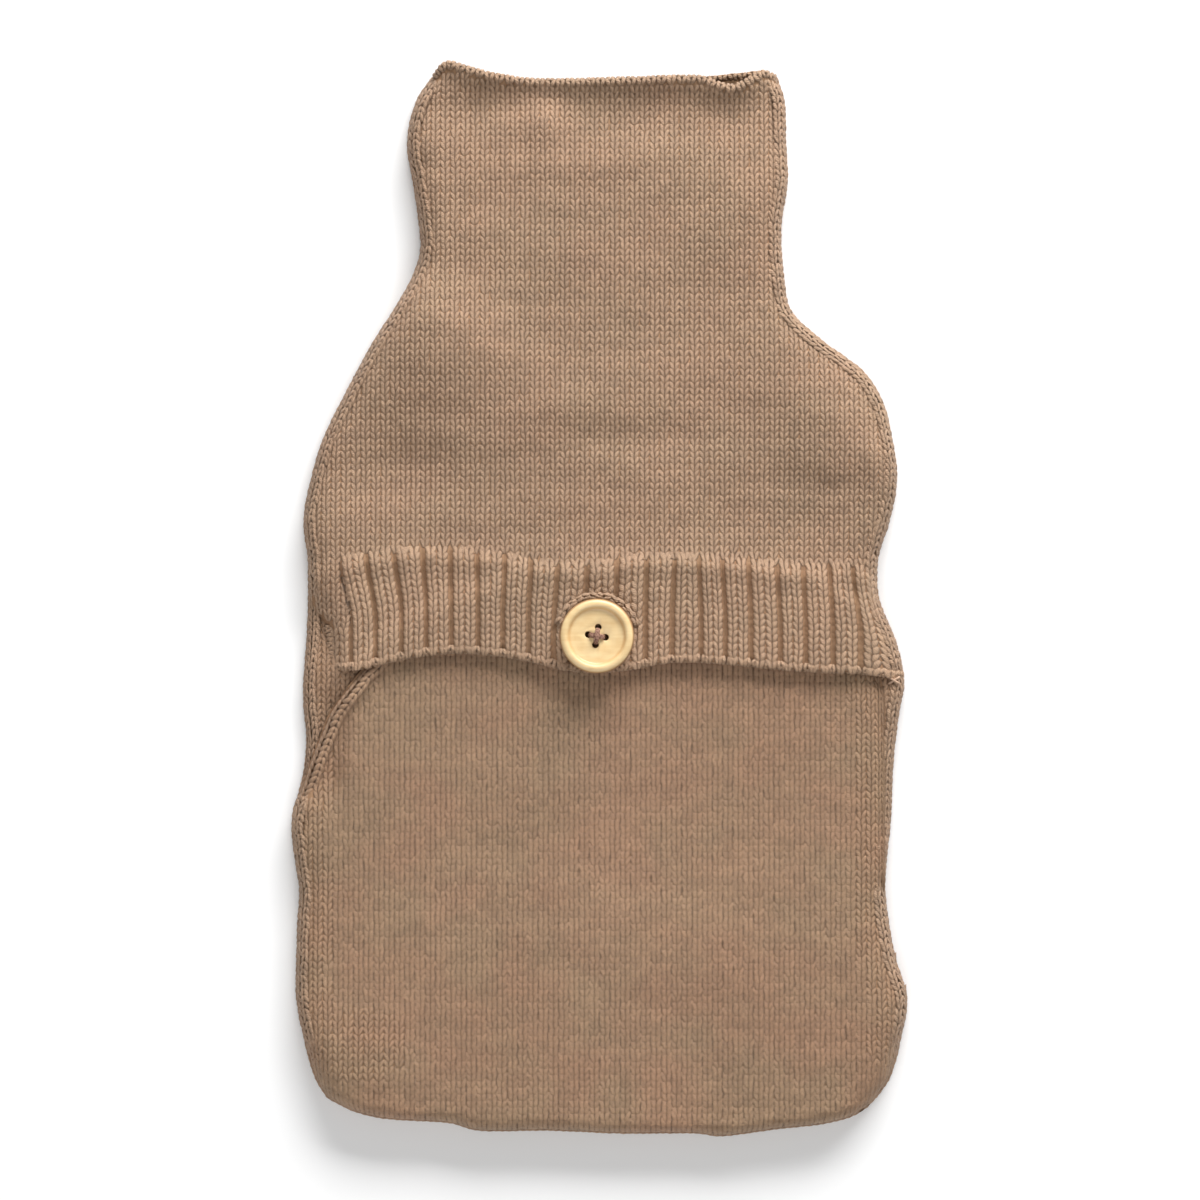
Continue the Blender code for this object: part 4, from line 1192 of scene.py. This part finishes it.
UPPER_TAUPE = (0.368, 0.236, 0.149)
upper_yarn = make_yarn("taupe yarn of the upper front", UPPER_TAUPE, 0.09, 0.85, 0.26)
carrier = sunk(upper_grid, CARRIER_REST)
extra = turned_down(seam_distance)
UPPER_WALES, UPPER_COURSES = 64, 95
UPPER_CHART_FOOT = -14.0
NECK_MARGIN = 2.5
upper_chart = (
    UPPER_WALES / 2 + (upper_x + outward[0] * extra) / WALE,
    (upper_y + outward[1] * extra - UPPER_CHART_FOOT) / COURSE,
)
rows = np.arange(len(row_y))[:, None] + np.zeros((1, len(rib_number)))
off_seam = seam_distance > SEWN_MARGIN
upper_stitches = knit(
    "upper_stitches", carrier, upper_chart, UPPER_WALES, UPPER_COURSES, upper_yarn, full_stitch, seed=37,
    relief=0.85,
    knitted=((rows >= BAND_ROWS - 1) | plain_margin) & off_seam & (neck_distance > NECK_MARGIN),
)

# The ribs' own chart: two wales on each rib, and a narrow third one that is left out, for the valley.
VALLEY_HALF = 0.07
RIB_SIDE = 0.14
BAND_COURSES = 16
BAND_OVERLAP = 4
rib_wale = 3.0 * np.floor(rib_number) + np.interp(
    rib_place, [0.0, VALLEY_HALF, 1.0 - VALLEY_HALF, 1.0], [0.5, 1.0, 3.0, 3.5])
on_rib = np.broadcast_to((rib_place > RIB_SIDE) & (rib_place < 1.0 - RIB_SIDE), upper_x.shape)
band_course = (row_y - flap_bottom) / (BAND_TOP - flap_bottom) * BAND_COURSES
RIB_WALES = 3 * (RIB_COUNT + 1) + 1
band = slice(0, BAND_ROWS + BAND_OVERLAP)
RIB_LEGS = ((-0.1, -0.8, -0.34, 0.74), (0.1, -0.8, 0.34, 0.74))
rib_stitch = stitch_template("rib_stitch", RIB_LEGS, FULL_LEG)
RIB_TAUPE = (0.395, 0.254, 0.16)
rib_yarn = make_yarn("taupe yarn of the ribs", RIB_TAUPE, 0.1, 0.88, 0.2)
rib_chart = tuple(np.broadcast_to(counts, upper_x.shape)[band] for counts in (rib_wale[None, :], band_course))
free_corner = row_y < FLAP_LEFT_EDGE[-1][0]
ribbed = on_rib & (rows <= BAND_ROWS - 1) & ~plain_margin & (off_seam | free_corner)
rib_stitches = knit(
    "rib_stitches", carrier[band], rib_chart, RIB_WALES, BAND_COURSES, rib_yarn, rib_stitch,
    knitted=ribbed[band], unevenness=0.07, relief=0.95, seed=41,
)

# The band's cast-on edge runs down the free left corner and along the bottom. The neck's edge is rolled. The
# buttonhole's upper lip is pushed into an arch by the button.
CAST_ON_ROLL = 1.1
CAST_ON_LOWEST = 4.8
CAST_ON_STEP = 2.9
FLAP_FREE, FLAP_CORNER = -9.0, -23.0
NECK_ROLL = 1.3
LIP_RADIUS = 14.9
LIP_ROLL = 1.2
LIP_STEP = 2.6
flap_edge = [(float(through(FLAP_LEFT_EDGE, y)), float(y)) for y in np.linspace(FLAP_FREE, FLAP_CORNER, 10)]
flap_edge += edge_line(FLAP_LOW_EDGE, 1.0)[1:]


def cast_on_level(x, y):
    """Height of the flap's edge, kept from coming down as far as the seams."""
    return np.maximum(upper_level(x, y), CAST_ON_LOWEST)


cast_on = knit_strip(
    "cast_on_edge", rolled_edge(flap_edge, cast_on_level, CAST_ON_ROLL, 0.5), 2, CAST_ON_STEP, rib_yarn,
    full_stitch, turned=True, unevenness=0.16, relief=1.1, seed=43,
)
neck_edge = knit_strip(
    "neck_edge", rolled_edge(edge_line(FRONT_NECK_EDGE, 1.0)[::-1], upper_level, NECK_ROLL, 1.0), 2, WALE,
    upper_yarn, full_stitch, turned=True, unevenness=0.1, relief=0.9, seed=47,
)
lip_angle = np.radians(np.linspace(165.0, 18.0, 40))
lip = [(BUTTON_X + LIP_RADIUS * math.cos(a), BUTTON_Y + LIP_RADIUS * math.sin(a)) for a in lip_angle]
buttonhole = knit_strip(
    "buttonhole_edge", rolled_edge(lip[::-1], upper_level, LIP_ROLL, 0.2, 175.0, 5.0), 1, LIP_STEP, rib_yarn,
    full_stitch, unevenness=0.2, seed=53,
)
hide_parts("upper_front")

# ---------------------------------------------------------------------------------------------------------
# Side seams. The front and the back are linked together down both sides, and three wales turn round each
# side along the seam. Where the openings are, the same wales bind the free edge of the back.
SEAM_FOOT = 0.9
SEAM_SINK = 1.3
SEAM_LOWEST = 0.4
SEAM_INWARD = 3.0
SEAM_OVER_BACK = 0.4
SEAM_LIFT = 0.6
NECK_CLOSE, NECK_CLOSE_FADE, NECK_CLOSED = 171.0, 8.0, 8.0
SEAM_SHARE = 0.83
# Rows in which a side is open. Columns: lowest y, highest y, fade below, fade above.
LEFT_FREE_ROWS = (-69.0, 4.0, 8.0, 6.0)
RIGHT_FREE_ROWS = (-84.0, -22.0, 12.0, 5.0)
# Section of the seam. Columns: distance out from the silhouette, share of the height, extra height.
SEAM_SECTION = (
    (-4.2, 0.97, 0.0),
    (-3.3, 0.94, 0.35),
    (-2.1, 0.80, 0.45),
    (-1.0, 0.60, 0.35),
    (-0.2, 0.36, 0.15),
    (0.05, 0.15, 0.0),
    (-0.2, 0.0, 0.0),
)


def side_level(x, y):
    """Height of the cover just inside its sides: the front's or, at the openings, the back's."""
    left = between(y, *LEFT_FREE_ROWS) * (x < 0.0)
    right = between(y, *RIGHT_FREE_ROWS) * (x > 0.0)
    lift = SEAM_LIFT * flap_lift(x, y) * (y > FLAP_RIGHT_END)
    front = SEAT + SEAM_SHARE * (CROWN * (1.0 - sag(x, y)) + folds(x, y) + lift)
    return lerp(front, BACK_TOP + puff(x, y) + SEAM_OVER_BACK, left + right)


seam_out, seam_share, seam_extra = np.array(SEAM_SECTION).T
# Along the foot the seam is a low strip, two wales wide, in the joint. Columns: distance out, height.
FOOT_SECTION = (
    (-1.3, 4.9),
    (-0.3, 4.2),
    (0.2, 3.2),
    (0.25, 2.2),
    (0.05, 1.3),
    (-0.7, 0.5),
)
FOOT_END = -150.0
FOOT_JOINT_DEPTH = 0.3
FOOT_LOWEST = 0.2
foot_out, foot_height = np.array(FOOT_SECTION).T
foot_chain = [place for place in lower_seam if place[1] < FOOT_END]
foot_x, foot_y = strip(foot_chain, foot_out)
foot_grid = np.stack([foot_x, foot_y, np.broadcast_to(foot_height, foot_x.shape)], axis=-1)
left_side = side_line(SEAM_END, side_top, step=2.0)[::-1]
right_side = side_line(SEAM_END, side_top, 2, step=2.0)
for name, chain in (("left_seam", left_side), ("right_seam", right_side)):
    seam_x, seam_y = strip(chain, seam_out)
    level = side_level(*strip(chain, np.array([-SEAM_INWARD])))
    level = lerp(level, NECK_CLOSED, smoothstep((seam_y[:, :1] - NECK_CLOSE) / NECK_CLOSE_FADE))
    # At the bottom corners it goes in under the cloth.
    hidden = smoothstep((SEAM_END + SEAM_FADE - seam_y) / SEAM_FADE)
    seam_z = SEAM_FOOT + seam_share * (level - SEAM_FOOT) + seam_extra - SEAM_SINK * hidden
    seam_z = np.maximum(seam_z, SEAM_LOWEST)
    knit_strip(
        name, np.stack([seam_x, seam_y, seam_z], axis=-1), 3, EDGE_STEP, upper_yarn, full_stitch,
        unevenness=0.14, relief=1.1, seed=59,
    )
knit_strip(
    "foot_seam", foot_grid, 2, EDGE_STEP, back_yarn, full_stitch, unevenness=0.12, relief=0.8, seed=61,
)
thick_cloth("foot_joint", sunk(foot_grid, FOOT_JOINT_DEPTH), ground_cloth, FOOT_LOWEST)
# The knitting is done, so the single stitches that it was made from are removed.
for template in (plain_stitch, purl_stitch, full_stitch, soft_stitch, rib_stitch):
    bpy.data.objects.remove(template)


STRAND_SIDES = 8


def tube(bm, points, radius, sides=STRAND_SIDES):
    """Round strand through points, with closed ends."""
    points = [Vector(point) for point in points]
    rings = []
    for index, point in enumerate(points):
        run = points[min(index + 1, len(points) - 1)] - points[max(index - 1, 0)]
        side = run.cross(Vector((0.0, 0.0, 1.0)))
        side = side.normalized() if side.length > 1e-6 else Vector((1.0, 0.0, 0.0))
        up = side.cross(run).normalized()
        rings.append([
            bm.verts.new(point + radius * (math.cos(a) * side + math.sin(a) * up))
            for a in (2 * math.pi * step / sides for step in range(sides))
        ])
    for one, other in zip(rings, rings[1:]):
        for step in range(sides):
            after = (step + 1) % sides
            bm.faces.new((one[step], one[after], other[after], other[step]))
    bm.faces.new(rings[0][::-1])
    bm.faces.new(rings[-1])


# Two crossed stitches tack the flap's right end to the seam.
TACK_X, TACK_Y = 100.5, -27.6
TACK_REACH = 1.9
TACK_RADIUS = 0.38
TACK_LEAN = 0.62
TACK_REST, TACK_DIP = 0.2, 0.9
PALE_YARN = (0.47, 0.32, 0.225)
tack_bm = bmesh.new()
for way, rise in ((1.0, 0.35), (-1.0, 0.75)):
    points = []
    for step in np.linspace(-1.0, 1.0, 9):
        x, y = TACK_X + step * TACK_REACH, TACK_Y + way * step * TACK_REACH * TACK_LEAN
        level = float(side_level(np.array([x]), np.array([TACK_Y - SEAM_INWARD]))[0])
        points.append((x, y, level + TACK_REST + rise * (1.0 - step**2) - TACK_DIP * step**4))
    tube(tack_bm, points, TACK_RADIUS)
for vert in tack_bm.verts:
    vert.co *= MM
bmesh.ops.recalc_face_normals(tack_bm, faces=tack_bm.faces)
tack_mesh = bpy.data.meshes.new("flap_tack")
tack_bm.to_mesh(tack_mesh)
tack_bm.free()
tack_mesh.materials.append(make_ground("pale tacking yarn", PALE_YARN))
tack_mesh.shade_smooth()
plain_piece("flap_tack", tack_mesh)

# ---------------------------------------------------------------------------------------------------------
# Button. A turned disc of pale varnished wood with a rounded rim, a flat recess and four holes. It is sewn to
# the lower front and holds the flap shut.
BUTTON_RADIUS = 12.7
BUTTON_FOOT = 15.05
BUTTON_HIGH = 19.25
RECESS_FLOOR = BUTTON_FOOT + 2.75
RECESS_EDGE = 9.4
HOLE_RADIUS = 1.1
HOLE_CIRCLE = 3.0
HOLE_TURN = math.radians(-9.0)
HOLE_FACES = 20
TURNED_FACES = 120
# Half section of the disc, from its middle below to its middle above. Columns: radius, height.
BUTTON_SECTION = (
    (9.5, BUTTON_FOOT),
    (11.2, BUTTON_FOOT + 0.35),
    (12.2, BUTTON_FOOT + 1.1),
    (12.62, BUTTON_FOOT + 1.95),
    (12.7, BUTTON_FOOT + 2.6),
    (12.5, BUTTON_FOOT + 3.3),
    (12.0, BUTTON_FOOT + 3.85),
    (11.35, BUTTON_FOOT + 4.13),
    (10.8, BUTTON_HIGH),
    (10.35, BUTTON_FOOT + 4.1),
    (9.95, BUTTON_FOOT + 3.85),
    (9.65, BUTTON_FOOT + 3.35),
    (9.35, BUTTON_FOOT + 3.0),
    (8.9, BUTTON_FOOT + 2.82),
    (7.5, RECESS_FLOOR),
)
hole_turns = [HOLE_TURN + quarter * math.pi / 2 for quarter in range(4)]
hole_places = [(HOLE_CIRCLE * math.cos(turn), HOLE_CIRCLE * math.sin(turn)) for turn in hole_turns]


def turned(section, faces):
    """Closed solid of a half section turned round the button's middle."""
    bm = bmesh.new()
    rings = []
    for radius, height in section:
        angles = [2 * math.pi * step / faces for step in range(faces)]
        rings.append([bm.verts.new((radius * math.cos(a), radius * math.sin(a), height)) for a in angles])
    for low, high in zip(rings, rings[1:]):
        for step in range(faces):
            after = (step + 1) % faces
            bm.faces.new((low[step], low[after], high[after], high[step]))
    bm.faces.new(rings[0][::-1])
    bm.faces.new(rings[-1])
    bmesh.ops.recalc_face_normals(bm, faces=bm.faces)
    mesh = bpy.data.meshes.new("turned")
    bm.to_mesh(mesh)
    bm.free()
    return mesh


def bored(mesh, cutters):
    """The mesh with the cutters' shapes taken out."""
    solid = bpy.data.objects.new("bored", mesh)
    scene.collection.objects.link(solid)
    for cutter_mesh in cutters:
        cutter = bpy.data.objects.new("cutter", cutter_mesh)
        scene.collection.objects.link(cutter)
        cut = solid.modifiers.new("cut", "BOOLEAN")
        cut.operation = "DIFFERENCE"
        cut.solver = "EXACT"
        cut.object = cutter
    made = bpy.data.meshes.new_from_object(solid.evaluated_get(bpy.context.evaluated_depsgraph_get()))
    for used in [solid] + [cut.object for cut in solid.modifiers]:
        bpy.data.objects.remove(used)
    return made


def hole_cutter(place):
    """A hole's bore, eased at its mouth."""
    section = ((HOLE_RADIUS, BUTTON_FOOT - 1.0), (HOLE_RADIUS, RECESS_FLOOR - 0.3),
               (HOLE_RADIUS + 0.1, RECESS_FLOOR - 0.1), (HOLE_RADIUS + 0.3, RECESS_FLOOR + 0.02),
               (HOLE_RADIUS + 0.3, RECESS_FLOOR + 1.0))
    mesh = turned(section, HOLE_FACES)
    for vert in mesh.vertices:
        vert.co.x += place[0]
        vert.co.y += place[1]
    return mesh


WOOD_DARK = (0.70, 0.475, 0.225)
WOOD_PALE = (0.86, 0.66, 0.365)
# Painted shade for the rim's inner foot.
FOOT_PAINTED_SHADE = (0.56, 0.29, 0.1)
# Darker colour towards the disc's outer edge.
DARKER_EDGE = (0.3, 0.13, 0.05)
FOOT_SHADE_REACH = 0.75
EDGE_DARKER_START, EDGE_DARKER_END = 0.7, 0.15


def make_wood():
    """Pale wood turned on a lathe: straight grain across the disc, fine pores and a thin clear varnish."""
    surface, shader, node, link = new_surface("pale varnished wood")
    place = node("ShaderNodeTexCoord").outputs["Object"]
    along = node("ShaderNodeMapping", {"Vector": place, "Scale": (60.0, 700.0, 300.0),
                                       "Rotation": (0.0, 0.0, 0.5)})
    grain = node("ShaderNodeTexNoise", {"Vector": along.outputs["Vector"], "Scale": 1.0, "Detail": 4.0,
                                        "Roughness": 0.6, "Distortion": 0.4})
    clouds = node("ShaderNodeTexNoise", {"Vector": place, "Scale": 220.0, "Detail": 2.0})
    tone = node("ShaderNodeMath", {0: grain.outputs["Fac"], 1: 0.55}, operation="MULTIPLY")
    tone = node("ShaderNodeMath", {0: clouds.outputs["Fac"], 1: 0.45, 2: tone.outputs[0]},
                operation="MULTIPLY_ADD")
    ramp = node("ShaderNodeMapRange", {"Value": tone.outputs[0], "From Min": 0.3, "From Max": 0.7})
    colour = node("ShaderNodeMix", {0: ramp.outputs[0], 4: WOOD_DARK, 5: WOOD_PALE},
                  data_type="VECTOR")
    # Painted shade darkens the rim's inner foot round the recess, and the disc is darker towards its outer
    # edge.
    across = node("ShaderNodeVectorMath", {0: place, 1: (1.0, 1.0, 0.0)}, operation="MULTIPLY")
    radius = node("ShaderNodeVectorMath", {0: across.outputs[0], 1: (BUTTON_X * MM, BUTTON_Y * MM, 0.0)},
                  operation="DISTANCE")
    from_foot = node("ShaderNodeMath", {0: radius.outputs["Value"], 1: RECESS_EDGE * MM},
                     operation="SUBTRACT")
    from_foot = node("ShaderNodeMath", {0: from_foot.outputs[0]}, operation="ABSOLUTE")
    foot = node("ShaderNodeMapRange", {
        "Value": from_foot.outputs[0], "From Min": 0.0, "From Max": FOOT_SHADE_REACH * MM,
        "To Min": 0.5, "To Max": 0.0,
    })
    colour = node("ShaderNodeMix", {0: foot.outputs[0], 4: colour.outputs[1], 5: FOOT_PAINTED_SHADE},
                  data_type="VECTOR")
    outer = node("ShaderNodeMapRange", {
        "Value": radius.outputs["Value"], "From Min": (BUTTON_RADIUS - EDGE_DARKER_START) * MM,
        "From Max": (BUTTON_RADIUS - EDGE_DARKER_END) * MM, "To Min": 0.0, "To Max": 0.85,
    })
    colour = node("ShaderNodeMix", {0: outer.outputs[0], 4: colour.outputs[1], 5: DARKER_EDGE},
                  data_type="VECTOR")
    bump = node("ShaderNodeBump", {"Strength": 0.12, "Distance": 0.0002, "Height": grain.outputs["Fac"]})
    link(colour.outputs[1], shader["Base Color"])
    link(bump.outputs["Normal"], shader["Normal"])
    shader["Roughness"].default_value = 0.34
    shader["Specular IOR Level"].default_value = 0.5
    return surface


button_mesh = bored(turned(BUTTON_SECTION, TURNED_FACES), [hole_cutter(place) for place in hole_places])
for vert in button_mesh.vertices:
    vert.co = Vector((vert.co.x + BUTTON_X, vert.co.y + BUTTON_Y, vert.co.z)) * MM
button_mesh.materials.clear()
button_mesh.materials.append(make_wood())
for face in button_mesh.polygons:
    face.use_smooth = face.area < 40.0 * MM**2
button_mesh.set_sharp_from_angle(angle=math.radians(38.0))
fine_button = plain_piece("wooden_button", button_mesh)
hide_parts("button")

# ---------------------------------------------------------------------------------------------------------
# Button thread. Brown sewing thread, passed several times through the four holes so that it makes a cross,
# the upright pass over the level one, and wound round below the button as a shank.
STRAND_RADIUS = 0.36
STRANDS = 3
STRAND_STEP = 0.56
STRAND_REACH = 0.84
LEVEL_RISE = 0.6
UPRIGHT_RISE = 1.3
HOLE_DEPTH = 2.2
SHANK_RADIUS = 1.9
SHANK_LOW = 11.5
SHANK_TURNS = 9
SHANK_FIRST, SHANK_STEP = 0.35, 0.42
SHANK_STRAND = 0.26
CORE_TOP = RECESS_FLOOR - 2.3
CORE_SIDES = 24
CORE_LEAN = 0.001
# Share of a stitch's way that it goes on down into each hole.
INTO_HOLE = 0.16
BOW_FLATNESS = 0.96
THREAD_DARK = (0.12, 0.055, 0.033)
THREAD_PALE = (0.44, 0.25, 0.185)


def make_thread():
    """Twisted brown thread with paler fibres."""
    surface, shader, node, link = new_surface("brown sewing thread")
    place = node("ShaderNodeTexCoord").outputs["Object"]
    fibres = node("ShaderNodeTexNoise", {"Vector": place, "Scale": 1800.0, "Detail": 3.0})
    ramp = node("ShaderNodeMapRange", {"Value": fibres.outputs["Fac"], "From Min": 0.35, "From Max": 0.68})
    colour = node("ShaderNodeMix", {0: ramp.outputs[0], 4: THREAD_DARK, 5: THREAD_PALE},
                  data_type="VECTOR")
    bump = node("ShaderNodeBump", {"Strength": 0.5, "Distance": 0.0002, "Height": fibres.outputs["Fac"]})
    link(colour.outputs[1], shader["Base Color"])
    link(bump.outputs["Normal"], shader["Normal"])
    shader["Roughness"].default_value = 0.7
    shader["Specular IOR Level"].default_value = 0.3
    return surface


def make_cross():
    """All strands of the cross and the shank as one mesh."""
    bm = bmesh.new()
    for first, rise in ((0, LEVEL_RISE), (1, UPRIGHT_RISE)):
        start, end = (STRAND_REACH * np.array(hole_places[place]) for place in (first, first + 2))
        run = (end - start) / np.linalg.norm(end - start)
        side = np.array([-run[1], run[0]])
        for strand in range(STRANDS):
            place = strand - (STRANDS - 1) / 2
            points = []
            for step in np.linspace(-INTO_HOLE, 1.0 + INTO_HOLE, 21):
                between_holes = 0.0 < step < 1.0
                bow = math.sqrt(1.0 - (2.0 * step - 1.0) ** 2 * BOW_FLATNESS) if between_holes else 0.0
                drop = HOLE_DEPTH * max(0.0, -step, step - 1.0) / INTO_HOLE
                spread = STRAND_STEP * place * (0.55 + 0.45 * bow)
                along = start + (end - start) * min(max(step, 0.0), 1.0) + side * spread
                over = STRAND_RADIUS * (1.0 - 0.3 * abs(place)) + rise * bow - 0.25 * (1.0 - bow)
                points.append((along[0] + BUTTON_X, along[1] + BUTTON_Y, RECESS_FLOOR + over - drop))
            tube(bm, points, STRAND_RADIUS)
    for turn in range(SHANK_TURNS):
        height = SHANK_LOW + SHANK_FIRST + turn * SHANK_STEP
        ring = [(BUTTON_X + SHANK_RADIUS * math.cos(a), BUTTON_Y + SHANK_RADIUS * math.sin(a), height)
                for a in np.linspace(0.0, 2 * math.pi, 25)]
        tube(bm, ring, SHANK_STRAND)
    core = [(BUTTON_X, BUTTON_Y, SHANK_LOW), (BUTTON_X + CORE_LEAN, BUTTON_Y, CORE_TOP)]
    tube(bm, core, SHANK_RADIUS, CORE_SIDES)
    for vert in bm.verts:
        vert.co *= MM
    bmesh.ops.recalc_face_normals(bm, faces=bm.faces)
    mesh = bpy.data.meshes.new("thread_cross")
    bm.to_mesh(mesh)
    bm.free()
    mesh.materials.append(make_thread())
    mesh.shade_smooth()
    return mesh


thread_cross = plain_piece("thread_cross", make_cross())
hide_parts("button_thread")
